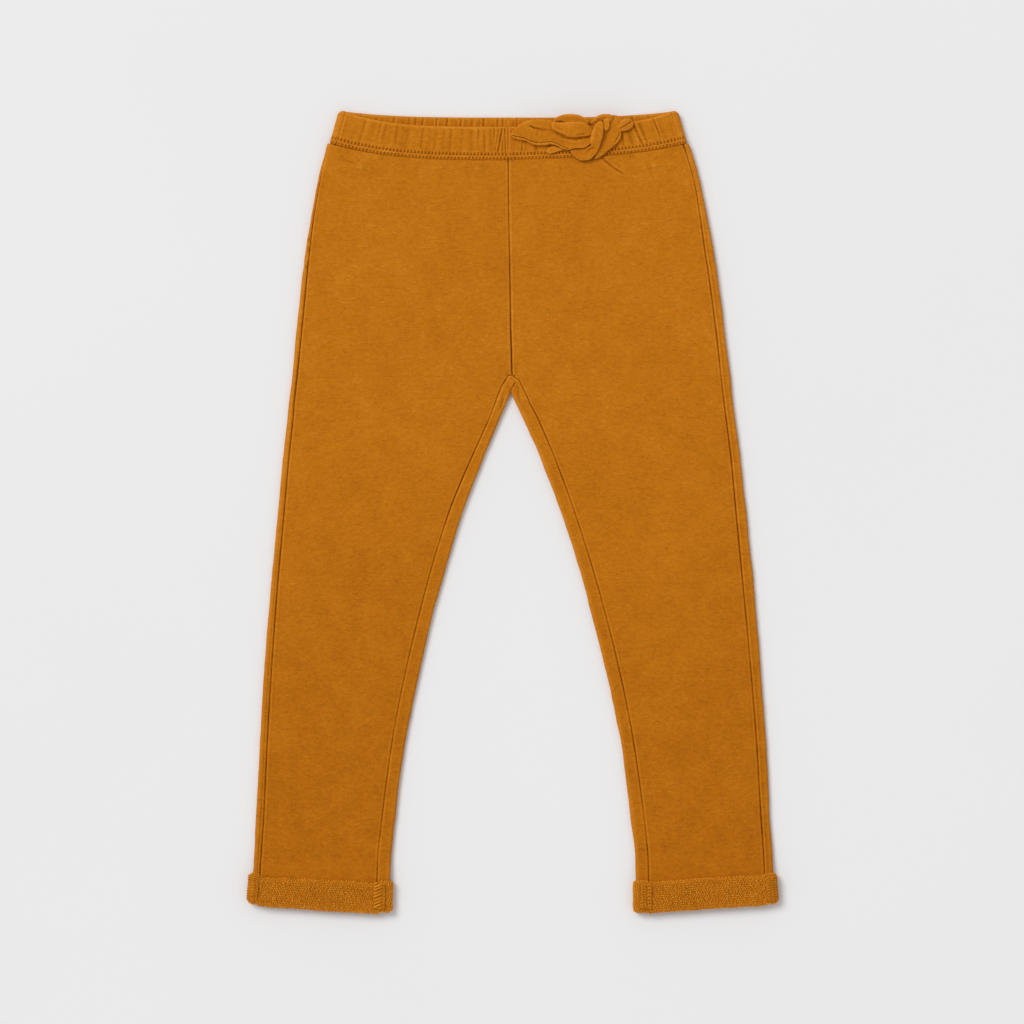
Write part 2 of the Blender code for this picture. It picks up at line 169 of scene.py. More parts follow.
world = bpy.data.worlds.new("surround")
world.use_nodes = True
surround = world.node_tree.nodes["Background"].inputs
surround["Color"].default_value = (1, 1, 1, 1)
surround["Strength"].default_value = SURROUND
bpy.context.scene.world = world
bpy.context.scene.view_settings.view_transform = "Standard"

camera_data = bpy.data.cameras.new("camera")
camera_data.sensor_width = SENSOR
camera_data.lens = SENSOR * (CAMERA_HEIGHT - PICTURE_CENTRE[2]) / PICTURE_WIDTH
camera = put("camera", camera_data)
camera.location = [c * MM for c in (*PICTURE_CENTRE[:2], CAMERA_HEIGHT)]
bpy.context.scene.camera = camera


# -------------------------------------------------------------------------------------- The back panels
# Two back panels of French terry, smooth jersey face out. They lie on the table, meet at the centre-back
# seam, and roll round both edges of each leg onto the front, where they are sewn to the front panels.
CLOTH = 1.2  # one layer of French terry
GAP = 0.3  # between two solids that are sewn together
SEAM_GAP = -0.14  # here the two edges just cross at the bottom of the seam
SEAM_DROP = 0.90  # how far the cloth rolls down into a seam
SEAM_ROUND = 0.52  # how far from the seam it has done so
SEAM_RIDGE = 0.13  # the ridge beside it
SEAM_RIDGE_AT = 1.10
BACK_RISE = 6.2
CLOTH_STEP = 1.5  # size of the mesh
UNDERSIDE_STEP, UNDERSIDE_WIDTH = 2.8, 138
UNDERSIDE_MIDDLE = 30  # the column from which the cloth is measured
FOLD_STEPS = 10
SEAM_SHARES = (0, 0.03, 0.08, 0.14, 0.22, 0.32, 0.42, 0.52, 0.62, 0.72, 0.82, 0.91)

# The same sections as the solids: across one half of the garment, from the waist down.
COLUMNS = (
    "side_x", "side_y", "mid_x", "mid_y", "inseam", "outseam_right", "outseam_left",
    "centre", "under", "over", "crown", "sag",
)
SECTIONS = (
    (117.9, 239.5, 0.00, 228.3, 0.0, 0.2, 4.2, -2.7, 0.0, 5.9, 0.0, 3.1),  # lower edge of the waistband
    (119.6, 232.3, 0.00, 222.0, 0.0, 0.2, 3.6, -2.6, 0.0, 5.6, 0.2, 3.1),
    (123.4, 218.1, 0.00, 209.4, 0.0, 1.0, 3.3, -2.5, 0.0, 5.1, 0.5, 2.6),
    (128.0, 196.3, 0.00, 190.1, 0.0, 1.6, 4.2, -2.3, 0.0, 4.8, 0.7, 2.0),  # hip
    (133.6, 163.8, 0.00, 161.0, 0.0, 2.8, 5.8, -1.7, 0.0, 4.6, 0.8, 2.0),
    (138.5, 124.8, 0.00, 124.2, 0.0, 3.4, 5.8, -1.2, 0.0, 4.4, 0.8, 1.5),
    (142.5, 87.5, 0.00, 88.6, 0.0, 3.4, 5.9, -0.9, 0.0, 4.2, 0.8, 1.0),  # top of the crotch, on the front
    (143.0, 83.4, 0.00, 83.4, 5.0, 3.4, 5.9, -0.9, 0.0, 4.2, 0.8, 1.0),
    (143.5, 78.4, 0.00, 78.4, 7.4, 3.4, 5.9, -0.9, 0.0, 4.2, 0.8, 1.0),  # where the legs part
    (144.2, 72.8, 1.90, 72.8, 8.3, 3.4, 5.9, -0.9, 0.0, 4.2, 0.8, 1.0),
    (145.6, 59.8, 7.80, 59.8, 8.5, 3.6, 5.9, -0.7, 0.0, 4.1, 0.8, 1.0),  # thigh
    (148.9, 33.8, 18.9, 33.8, 8.6, 3.9, 6.2, -0.4, 0.0, 4.0, 0.8, 1.0),
    (152.1, 1.30, 31.2, 1.30, 8.7, 4.2, 6.5, -0.3, 0.0, 4.0, 0.8, 1.0),
    (156.7, -44.2, 45.5, -44.2, 8.7, 4.5, 7.0, -0.1, 0.0, 4.0, 0.8, 1.0),  # knee
    (160.9, -96.2, 58.8, -96.2, 8.8, 4.6, 6.6, 0.1, 0.0, 4.0, 0.8, 1.0),
    (164.5, -147.4, 69.9, -149.0, 8.3, 5.0, 6.2, 0.3, 0.0, 4.0, 0.8, 1.0),  # calf
    (167.1, -198.4, 77.0, -202.0, 8.4, 5.1, 5.9, 0.4, 0.0, 4.2, 0.6, 1.0),
    (168.4, -219.5, 79.3, -224.0, 8.3, 5.0, 5.7, 0.4, 0.4, 4.5, 0.3, 1.0),
    (169.1, -235.3, 79.9, -240.2, 8.3, 4.8, 5.5, 0.3, 1.9, 5.7, 0.0, 1.0),  # upper edge of the cuff
    (170.6, -254.5, 80.3, -260.6, 8.3, 4.8, 5.5, 0.3, 1.9, 5.7, 0.0, 1.0),  # fold at the hem
)
CROTCH_TOP, LEGS_PART, BELOW_CROTCH, CUFF_TOP, HEM = 6, 8, 9, 18, 19
# How far the front panels' lower end has come from the centre, at shares of the way down the crotch's arch.
ARCH = {
    "right": ((0, 0.01, 0.07, 0.29, 0.59, 1), (0, 1.3, 2.5, 3.9, 5.3, 6.5)),
    "left": ((0, 0.01, 0.15, 0.21, 0.55, 1), (0, 0.9, 3.0, 4.7, 6.1, 7.5)),
}
ARCH_ROWS = (0.02, 0.05, 0.10, 0.17, 0.26, 0.34, 0.42)
# The strips beside the inseams aren't alike near the crotch: wider by so much at these rows.
INSEAM_ROWS = (8, 9, 9.4, 10, 10.6, 12)
INSEAM_SHIFTS = {"right": (-0.9, -1.1, -1.6, -2.3, -1.9, 0), "left": (0.1, 0.6, 0.3, 0.8, 0.6, 0)}
WAIST_RISE = 1.3, 114, 0.8  # how high, over what width, and how blunt its ends are
SLIT = 2.4, 77.9, 83.4, 87.4  # how far the centre-back seam leans aside here, and from, most at and up to
LEANING = -0.9, 8.0, 1.5  # round this x, as far as this on either side of it, and above this height
CUFF_HEIGHT = math.dist(SECTIONS[CUFF_TOP][:2], SECTIONS[HEM][:2])
CUFF = 1.6
HEM_ROUND = (CUFF + GAP + CLOTH) / 2
SIDES = {"right": -1, "left": 1}  # the wearer's right is at -X


def along(values, at):
    """The value of a column at a fractional row, on a smooth curve that never overshoots its rows."""
    steps = np.diff(values)
    slopes = np.zeros(len(values))
    slopes[0], slopes[-1] = steps[0], steps[-1]
    for i in range(1, len(values) - 1):
        before, after = steps[i - 1], steps[i]
        if before * after > 0:
            slopes[i] = 2 * before * after / (before + after)
    i = min(int(at), len(values) - 2)
    t = at - i
    return (
        values[i] * (1 + 2 * t) * (1 - t) ** 2
        + slopes[i] * t * (1 - t) ** 2
        + values[i + 1] * t * t * (3 - 2 * t)
        + slopes[i + 1] * t * t * (t - 1)
    )


def column(name):
    return np.array([row[COLUMNS.index(name)] for row in SECTIONS], float)


def between(start, end, share):
    return start + (end - start) * share


def unit(vectors):
    return vectors / np.linalg.norm(vectors, axis=-1, keepdims=True)


class Section:
    """A section across one half of the garment, at a fractional row of SECTIONS."""

    def __init__(self, side, row, back=False):
        for name in COLUMNS:
            setattr(self, name, along(column(name), row))
        self.sign = SIDES[side]
        self.outseam = self.outseam_right if side == "right" else self.outseam_left
        if row >= LEGS_PART:
            self.inseam = self.inseam + np.interp(row, INSEAM_ROWS, INSEAM_SHIFTS[side])
        if CROTCH_TOP < row < LEGS_PART:
            self.inseam = np.interp((row - CROTCH_TOP) / 2, *ARCH[side]) - self.mid_x
        self.round = (self.over - self.under) / 2
        self.middle = (self.over + self.under) / 2
        if back:
            self.mid_y += BACK_RISE * max(0.0, 1 - row / 3) ** 2
        self.parted = row >= LEGS_PART
        self.side_normal = self.normal(row, "side_x", "side_y", 1)
        self.mid_normal = self.normal(max(row, BELOW_CROTCH), "mid_x", "mid_y", -1)
        if row < BELOW_CROTCH:
            turned = between(np.array((0.0, -1.0)), self.mid_normal, max(row - LEGS_PART, 0))
            self.mid_normal = turned / np.hypot(*turned)
        inset = self.round * min(max(row - LEGS_PART + 1, 0), 1)
        self.start = np.array((max(self.mid_x, SEAM_GAP / 2), self.mid_y)) - inset * self.mid_normal
        self.end = np.array((self.side_x, self.side_y)) - self.round * self.side_normal
        # Past the top of the fold, the outer seam is measured round it.
        hidden = np.clip((self.round - self.outseam) / self.round, 0, 1)
        self.past_fold = self.round * math.asin(hidden)

    @staticmethod
    def normal(row, x, y, way):
        """The direction out of a fold in plan, from the fold's line a little above and below this row."""
        above, below = max(row - 0.25, 0), min(row + 0.25, HEM)
        run = np.array([along(column(name), below) - along(column(name), above) for name in (x, y)])
        return way * np.array((-run[1], run[0])) / np.hypot(*run)

    def plan(self, x):
        """Plan points at distances x from the centre line, on the section's own line."""
        share = (np.asarray(x, float) - self.start[0]) / (self.end[0] - self.start[0])
        bend = np.sign(share) * np.abs(share) ** self.sag
        return np.stack([np.asarray(x, float), between(self.start[1], self.end[1], bend)], -1)

    def place(self, plan, z):
        """Plan points at a height, in the garment's frame."""
        plan = np.atleast_2d(plan)
        z = np.broadcast_to(z, len(plan))
        return np.stack([self.centre + self.sign * plan[:, 0], plan[:, 1], z], -1)

    def fold(self, corner, normal, angles, offset=0.0):
        """Points round a fold, offset outwards from the cloth."""
        reach = self.round + offset
        plan = corner + reach * np.cos(angles)[:, None] * normal
        return self.place(plan, self.middle + reach * np.sin(angles))

    def seam(self, edge):
        """The plan point of the front panel's edge, on the outer or the inner seam."""
        if edge == "outer":
            return self.plan(min(self.side_x - self.outseam, self.end[0]) - SEAM_GAP / 2)
        return self.plan(max(self.mid_x + self.inseam, SEAM_GAP) - SEAM_GAP / 2)

    def ring(self, offset, count, turns):
        """The whole outline of a leg, offset outwards."""
        shares = np.linspace(0, 1, count)
        angles = np.linspace(-math.pi / 2, math.pi / 2, turns)[1:-1]
        flat = self.plan(between(self.start[0], self.end[0], shares))
        return np.concatenate([
            self.place(flat, self.under - offset),
            self.fold(self.end, self.side_normal, angles, offset),
            self.place(flat[::-1], self.over + offset),
            self.fold(self.start, self.mid_normal, angles[::-1], offset),
        ])

    def past_seam(self, edge, distance, offset):
        """A point on the front, a distance past a seam and towards or round the fold beyond it."""
        corner, normal = (self.end, self.side_normal) if edge == "outer" else (self.start, self.mid_normal)
        seam = self.seam(edge)
        flat = np.hypot(*(corner - seam))
        if edge == "outer" and self.past_fold:
            flat = -self.past_fold
        if distance <= flat:
            return self.place(between(seam, corner, distance / flat), self.over + offset)[0]
        angle = math.pi / 2 - (distance - flat) / self.round
        return self.fold(corner, normal, np.array([angle]), offset)[0]


def row_at(distance_above_hem):
    """The row that lies a distance up the leg from the fold at the hem."""
    return HEM - distance_above_hem / CUFF_HEIGHT


def rows_down():
    """Fractional rows from the waist to the end of the leg, about a mesh step apart."""
    last = row_at(HEM_ROUND + GAP)
    rows = {0.0} | {CROTCH_TOP + k for k in ARCH_ROWS}
    for row in range(HEM):
        count = max(1, round(math.dist(SECTIONS[row][:2], SECTIONS[row + 1][:2]) / CLOTH_STEP))
        rows |= {row + k / count for k in range(count + 1) if row + k / count < last - 0.02}
    return sorted(rows) + [last]


def seam_roll(distance):
    """How high the cloth stands at a distance from a seam: a drop at its edge, then a low ridge."""
    rise = SEAM_RIDGE * np.exp(-(((distance - SEAM_RIDGE_AT) / 0.45) ** 2))
    return rise - SEAM_DROP * np.exp(-((np.maximum(distance, 0) / SEAM_ROUND) ** 1.5))


class Rumple:
    """Smooth uneven heights over a plane, between about -1 and 1, with bumps of a given size."""

    def __init__(self, seed, size, stretch=1.0):
        self.heights = np.random.default_rng(seed).uniform(-1, 1, (64, 64))
        self.size = np.array((size, size * stretch))

    def __call__(self, x, y):
        place = np.stack([x, y], -1) / self.size + 640
        cell = np.floor(place).astype(int)
        t = place - cell
        t = t * t * (3 - 2 * t)
        column, row = cell[..., 0], cell[..., 1]
        low, high = (
            between(self.heights[c % 64, row % 64], self.heights[c % 64, (row + 1) % 64], t[..., 1])
            for c in (column, column + 1)
        )
        return between(low, high, t[..., 0])


def crease(x, y, line, width, depth, lip=0.0, lip_side=1, taper=0.6):
    """A crease on a given line: a trough that fades at both ends, with a lip on one side."""
    line = np.array(line, float)
    starts = lengths_along(line)
    lengths = np.diff(starts)
    best = np.full(np.shape(x), 1e9)
    at = np.zeros(np.shape(x))
    aside = np.zeros(np.shape(x))
    for k, (a, b) in enumerate(zip(line[:-1], line[1:])):
        run = (b - a) / lengths[k]
        ahead = (x - a[0]) * run[0] + (y - a[1]) * run[1]
        held = np.clip(ahead, 0, lengths[k])
        off = (y - a[1]) * run[0] - (x - a[0]) * run[1]
        distance = np.hypot(x - a[0] - held * run[0], y - a[1] - held * run[1])
        nearer = distance < best
        best = np.where(nearer, distance, best)
        at = np.where(nearer, (starts[k] + held) / starts[-1], at)
        aside = np.where(nearer, off, aside)
    fade = np.sin(math.pi * np.clip(at, 0, 1)) ** taper
    trough = -depth * np.exp(-((best / width) ** 2))
    shifted = aside * lip_side - 1.5 * width
    rise = lip * np.exp(-((shifted / (1.1 * width)) ** 2)) * (best < 6 * width)
    return fade * (trough + rise)


def make_mesh(name, points, faces, uvs, finish):
    """An object from arrays in millimetres, with the cloth's own coordinates in metres as its UV map."""
    mesh = bpy.data.meshes.new(name)
    mesh.from_pydata((points * MM).tolist(), [], faces.tolist())
    corners = np.empty(len(mesh.loops), np.int32)
    mesh.loops.foreach_get("vertex_index", corners)
    mesh.uv_layers.new(name="cloth").data.foreach_set("uv", (uvs[corners] * MM).astype(np.float32).ravel())
    mesh.materials.append(finish)
    mesh.shade_smooth()
    return put(name, mesh)


def grid_faces(there, flip, wrap=False):
    """The quads between the points that a grid has, and each point's number."""
    number = np.where(there, np.cumsum(there).reshape(there.shape) - 1, -1)
    a, b = number[:-1], number[1:]
    if wrap:
        a, b = (np.concatenate([n, n[:, :1]], 1) for n in (a, b))
    quads = np.stack([a[:, :-1], a[:, 1:], b[:, 1:], b[:, :-1]], -1).reshape(-1, 4)
    quads = quads[(quads >= 0).all(1)]
    return quads[:, ::-1] if flip else quads


def lengths_along(points):
    """How far along a line of points each of them is."""
    return np.concatenate([[0], np.cumsum(np.linalg.norm(np.diff(points, axis=0), axis=-1))])


def cloth_coordinates(grid, middle):
    """How far across and down the cloth each point of a grid is, measured along the cloth itself."""
    filled = np.where(np.isnan(grid), 0, grid)
    across = np.linalg.norm(np.diff(filled, axis=1), axis=2)
    across[np.isnan(grid[:, 1:, 0] + grid[:, :-1, 0])] = 0
    u = np.concatenate([np.zeros((len(grid), 1)), np.cumsum(across, 1)], 1)
    u = u - u[:, middle][:, None]
    return np.stack([u, np.broadcast_to(-lengths_along(filled[:, middle])[:, None], u.shape)], -1)


def points_of(piece):
    """A piece's points, in millimetres."""
    points = np.empty(len(piece.data.vertices) * 3)
    piece.data.vertices.foreach_get("co", points)
    return points.reshape(-1, 3) / MM


def normals_of(piece):
    normals = np.empty(len(piece.data.vertices) * 3, np.float32)
    piece.data.vertex_normals.foreach_get("vector", normals)
    return normals.reshape(-1, 3)


def move_to(piece, points):
    piece.data.vertices.foreach_set("co", (points * MM).ravel())
    piece.data.update()


def shape_cloth(piece, height):
    """Moves a piece's points along their normals by a height that is worked out from where they are."""
    points, normals = points_of(piece), normals_of(piece)
    move_to(piece, points + normals * height(points, normals)[:, None])


def mark_wear_and_painted_light(piece, scale=0.16, share=1.0):
    """Stores where the cloth bulges (up to 1) and sinks (down to -1). The colour follows it: painted darker in
    the sinks, as painted shade, and lighter on the bulges, as wear and a painted highlight.
    """
    points, normals = points_of(piece), normals_of(piece)
    edges = np.empty(len(piece.data.edges) * 2, np.int32)
    piece.data.edges.foreach_get("vertices", edges)
    a, b = edges.reshape(-1, 2).T
    run = points[b] - points[a]
    square = np.maximum((run**2).sum(1), 1e-6)
    total, weight = np.zeros(len(points)), np.zeros(len(points))
    for here, way in ((a, 1), (b, -1)):
        np.add.at(total, here, -2 * way * (run * normals[here]).sum(1) / square)
        np.add.at(weight, here, 1)
    wear_and_painted_light = total / np.maximum(weight, 1)
    for _ in range(2):  # smoothed over the neighbours
        total = wear_and_painted_light * weight
        for here, there in ((a, b), (b, a)):
            np.add.at(total, here, wear_and_painted_light[there])
        wear_and_painted_light = total / (2 * np.maximum(weight, 1))
    stored = piece.data.attributes.new("wear_and_painted_light", "FLOAT", "POINT")
    stored.data.foreach_set("value", (share * np.tanh(wear_and_painted_light / scale)).astype(np.float32))


# Shades of the jersey face: its dye, from painted shade at the bottom of a seam to a ridge that is worn lighter
# and carries a painted highlight.
DYE_AND_PAINTED_LIGHT = (
    (0.00, (0.150, 0.040, 0.0018)),
    (0.22, (0.340, 0.096, 0.0036)),
    (0.42, (0.455, 0.140, 0.0052)),
    (0.55, (0.520, 0.167, 0.0068)),
    (0.72, (0.615, 0.220, 0.0180)),
    (1.00, (0.760, 0.340, 0.0500)),
)
DARKER_DOWN_LEGS = -0.21, 0.09, 0.36, 0.50  # darker down the legs: between these two heights, these two tones
WALE = 0.95 * MM  # width of one column of knit stitches
COURSE = 0.72 * MM  # height of one row of them
GLOSS_TINT = 1.0, 0.6, 0.18, 1


def jersey(name, dye_and_painted_light=DYE_AND_PAINTED_LIGHT):
    """The smooth face of French terry, dyed after sewing: mottled, with crinkles and a fine knit. The crinkles
    are painted paler, a painted highlight; hollows take painted shade, and ridges a lighter tone of wear and
    painted highlight.
    """
    finish, board = new_finish(name)
    place = board.node("ShaderNodeTexCoord", output=3)
    cloth = board.node("ShaderNodeUVMap", uv_map="cloth")
    wear_and_painted_light = board.node("ShaderNodeAttribute", output=2, attribute_name="wear_and_painted_light")

    def noise(vector, scale, detail=2.0, distortion=0.0, roughness=0.5):
        inputs = {"Vector": vector, "Scale": scale, "Detail": detail}
        return board.node("ShaderNodeTexNoise", {**inputs, "Distortion": distortion, "Roughness": roughness})

    def stretched(x, y, turn=0.0):
        inputs = {"Vector": cloth, "Scale": (x, y, 1), "Rotation": (0, 0, turn)}
        return board.node("ShaderNodeMapping", inputs)

    def masked(value, low, high):
        inputs = {"Value": value, "From Min": low, "From Max": high}
        return board.node("ShaderNodeMapRange", inputs, interpolation_type="SMOOTHSTEP")

    broad = noise(place, 14.0, 2.0)
    blotch = noise(place, 90.0, 3.0)
    mottle = noise(stretched(300, 460), 1.0, 3.0, 0.4, 0.6)
    grain = noise(stretched(1050, 1150), 1.0, 2.0, 0.2, 0.7)
    crinkle = noise(stretched(95, 430, 0.16), 1.0, 2.0, 1.1)
    counter = noise(stretched(120, 520, -0.24), 1.0, 2.0, 1.0)
    crinkle_ridges = masked(crinkle, 0.60, 0.72) + masked(counter, 0.62, 0.74)
    up_leg = board.node("ShaderNodeSeparateXYZ", {"Vector": place}, output=1)
    darker_down = board.node("ShaderNodeMapRange", {"Value": up_leg, **dict(zip((1, 2, 3, 4), DARKER_DOWN_LEGS))})

    across = board.node("ShaderNodeSeparateXYZ", {"Vector": cloth}, output=0)
    down = board.node("ShaderNodeSeparateXYZ", {"Vector": cloth}, output=1)
    wale = across / WALE + (grain - 0.5) * 0.5
    arm = board.maths("ABSOLUTE", board.maths("FRACT", wale) - 0.5)
    stitch = board.maths("SINE", (down / COURSE + arm) * (2 * math.pi))
    channel = board.maths("SINE", wale * (2 * math.pi))

    tone = darker_down + (broad - 0.5) * 0.14 + (blotch - 0.5) * 0.24 + (mottle - 0.5) * 0.40
    # The crinkles are painted paler as well as raised: a painted highlight on their ridges.
    tone = tone + (grain - 0.5) * 0.50 + crinkle_ridges * 0.09 + stitch * 0.012
    # Painted shade: sunken cloth is made darker. Bulging cloth is made lighter, as wear and a painted
    # highlight.
    tone = tone + board.maths("MAXIMUM", wear_and_painted_light, 0.0) * 0.13 + board.maths("MINIMUM", wear_and_painted_light, 0.0) * 0.30
    height = stitch * 0.10 + channel * 0.06 + grain * 1.2 + mottle * 1.5 + crinkle_ridges * 1.3
    board.finish_with(
        tone, dye_and_painted_light, 0.80 + grain * 0.14, height, 0.85, 0.00019, Specular_IOR_Level=0.22,
        Specular_Tint=GLOSS_TINT, Sheen_Weight=0.10, Sheen_Roughness=0.5, Sheen_Tint=(1.0, 0.5, 0.12, 1),
    )
    return finish


JERSEY = jersey("terry_face")


def keep(piece, slot, *nodes):
    """The piece rides with the garment, and stands for its CAD solid where it has one."""
    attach(piece, "root")
    if nodes:
        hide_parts(*nodes)


def finish_panel(piece, height, node):
    """Creases a panel, thickens it inwards to real cloth, and puts it in its solid's place."""
    shape_cloth(piece, height)
    mark_wear_and_painted_light(piece)
    wall = piece.modifiers.new("wall", "SOLIDIFY")
    wall.thickness = CLOTH * MM
    wall.offset = -1
    keep(piece, "terry_face", node)


SOFT_WAVES = Rumple(3, 70, 1.4)
SMALL_WAVES = Rumple(4, 17, 1.3)
PUCKERS = Rumple(5, 5.5)


def strip(section, corner, seam):
    """The back panel's strip on the front, from the top of a fold to a seam, without its last point."""
    run = corner - seam
    width = np.hypot(*run)
    edge = seam + run * SEAM_GAP / width
    distance = (width - SEAM_GAP) * np.array(SEAM_SHARES)
    return section.place(edge + run * distance[:, None] / width, section.over + seam_roll(distance))


def back_grid(side):
    """Rows of surface points: inner strip, inner fold, underside, outer fold, outer strip."""
    angles = np.linspace(-math.pi / 2, math.pi / 2, FOLD_STEPS + 1)
    columns = round(UNDERSIDE_WIDTH / UNDERSIDE_STEP)
    fan = [LEGS_PART + k / 12 for k in range(1, 12)] + [LEGS_PART + k / 3 for k in ARCH_ROWS]
    rows = sorted(set(r for r in rows_down() if not LEGS_PART < r < BELOW_CROTCH) | set(fan))
    grid = []
    for row in rows:
        section = Section(side, row, back=True)
        if section.parted:
            seam = section.seam("inner")
            if row < BELOW_CROTCH:
                seam = Section(side, CROTCH_TOP + 3 * (row - LEGS_PART)).seam("inner")
            fold = section.fold(section.start, section.mid_normal, angles[1:])[::-1]
            wrap = np.concatenate([strip(section, section.start, seam), fold])
        else:
            wrap = np.full((len(SEAM_SHARES) + FOLD_STEPS, 3), np.nan)
        edge = np.array((0, 0.12, 0.3, 0.6, 1.0, 1.6, 2.4))
        flat = np.linspace(section.start[0] + 3.6, section.end[0], columns)
        x = np.concatenate([section.start[0] + edge, flat])
        distance = x - section.start[0]
        lift = 0 * distance if section.parted else np.maximum(-seam_roll(distance), 0)
        below = section.place(section.plan(x), section.under + lift)
        last = -section.past_fold if section.past_fold else np.hypot(*(section.end - section.seam("outer")))
        beside = last * np.array(SEAM_SHARES) if last > 0 else 0.25 * np.arange(len(SEAM_SHARES))
        turn = np.linspace(max(last, 3.2), last + math.pi * section.round, FOLD_STEPS + 1)[:-1]
        around = np.concatenate([beside, turn])
        outer = [section.past_seam("outer", d, seam_roll(d)) for d in around[::-1]]
        grid.append(np.concatenate([wrap, below, outer]))
    return np.array(grid)


def lean(grid, shift, low, most, high):
    """Leans the centre seam aside on the top face, between two heights and most at a third."""
    middle, reach, above = LEANING
    x, y, z = np.moveaxis(grid, -1, 0)
    rise = np.clip((y - low) / (most - low), 0, 1) * np.clip((high - y) / (high - most), 0, 1)
    near = np.clip(1 - np.abs(x - middle) / reach, 0, 1) ** 2
    grid[..., 0] += np.where(z > above, shift * rise * near, 0)


def shoulder(normals, y):
    """Rounds the top corner of each side, below the waistband."""
    return -1.3 * (1 - np.abs(normals[:, 2])) * np.exp(-np.clip(SECTIONS[0][1] - y, 0, 99) / 1.7)


def dips(x, y, creases):
    return sum(crease(x, y, *row) for row in creases)


# Round the crotch, on the backs: line, width, depth, lip, side of the lip, and how late they fade.
BACK_CREASES = (
    (((1.6, 83.6), (0.2, 80.9), (-1.7, 78.9), (-1.9, 76.5)), 0.42, 0.95, 0.2, 1, 0.3),
    (((-4.2, 86.0), (-3.4, 82.0), (-2.0, 78.6)), 0.55, 0.35, 0.1, -1, 0.5),
    (((-6.3, 78.0), (-6.5, 72.0), (-8.4, 65.0)), 1.3, 0.45, 0.0, 1, 0.7),
    (((3.7, 82.5), (3.6, 77.0), (4.6, 70.0)), 1.2, 0.35, 0.0, 1, 0.7),
)


def waist_rise(side, x):
    """On the wearer's left the front's waist seam runs a little higher, between the middle and the side."""
    most, width, power = WAIST_RISE
    return most * np.sin(math.pi * np.clip(np.asarray(x) / width, 0, 1)) ** power * (side == "left")


def back_panel(side):
    grid = back_grid(side)
    lean(grid, *SLIT)
    there = ~np.isnan(grid[:, :, 0])
    middle = len(SEAM_SHARES) + FOLD_STEPS + UNDERSIDE_MIDDLE
    faces = grid_faces(there, side == "right")
    uvs = cloth_coordinates(grid, middle)[there]
    piece = make_mesh(f"back_{side}_cloth", grid[there], faces, uvs, JERSEY)

    def height(points, normals):
        x, y = points.T[:2]
        top = np.clip(normals[:, 2], 0, 1)
        side_on = 1 - np.abs(normals[:, 2])
        waves = 0.35 * side_on * SMALL_WAVES(x, y) + 0.14 * (top + side_on) * PUCKERS(x, y)
        waves = waves + shoulder(normals, y) * (np.abs(x) > 90)
        waves = waves + dips(x, y, BACK_CREASES) * top
        return waves - 0.18 * np.clip(-normals[:, 2], 0, 1) * (1 + SMALL_WAVES(x * 1.3, y))

    finish_panel(piece, height, f"back_{side}")
    return piece


BACKS = {side: back_panel(side) for side in SIDES}


# ------------------------------------------------------------------------------------- The front panels
# Two narrower front panels of the same cloth, sewn to each other down the centre and to the backs down both
# sides of each leg. They lie on top, nearly smooth, with small puckers along the sewing.
FRONT_CREASES = {
    # line, width, depth, lip, side of the lip
    "left": (
        (((56.0, 231.6), (59.0, 229.0), (63.4, 225.4), (67.5, 222.2), (73.0, 219.2)), 0.62, 1.45, 0.30, 1),
        (((31.0, 227.0), (31.4, 222.5), (31.0, 218.0)), 1.2, 0.22, 0.0, 1),
        (((88.0, 227.0), (90.0, 222.0), (91.0, 216.0)), 2.2, 0.18, 0.0, 1),
        (((1.2, 200.0), (9.0, 198.0), (17.0, 199.0)), 1.0, 0.12, 0.06, 1),
        (((1.8, 97.0), (2.6, 92.0), (2.2, 88.0)), 1.7, 0.32, 0.0, 1),
        (((3.0, 96.0), (8.0, 90.0), (11.0, 84.0)), 1.8, 0.25, 0.0, 1),
        (((14.0, 70.0), (22.0, 66.0), (34.0, 66.0)), 2.6, 0.18, 0.1, 1),
    ),
    "right": (
        (((-28.0, 228.0), (-29.0, 222.0), (-28.0, 216.0)), 1.6, 0.22, 0.0, 1),
        (((-60.0, 229.0), (-62.0, 223.0), (-63.0, 216.0)), 2.0, 0.24, 0.0, 1),
        (((-92.0, 232.0), (-92.0, 226.0), (-89.0, 219.0)), 2.2, 0.22, 0.0, 1),
        (((-113.0, 232.0), (-108.0, 228.0), (-101.0, 226.0)), 1.4, 0.22, 0.1, 1),
        (((-2.0, 92.0), (-2.9, 90.0), (-4.5, 88.5)), 1.3, 0.26, 0.0, 1),
        (((-4.0, 97.0), (-7.0, 92.0), (-9.0, 86.0)), 1.8, 0.20, 0.0, 1),
        (((-16.0, 76.0), (-26.0, 71.0), (-38.0, 70.0)), 2.6, 0.16, 0.1, 1),
    ),
}
FRONT_LEAN = 0.7, 80.0, 88.6, 122.0  # the centre-front seam leans aside towards the crotch
FINER_COLUMNS = 36, 53  # where the mesh is twice as fine, for the sharp crease below the bow
EDGE_STEPS = (0, 0.12, 0.3, 0.55, 0.85, 1.25, 1.75, 2.4, 3.2, 4.2)
FRONT_COLUMNS = round(118 / CLOTH_STEP)


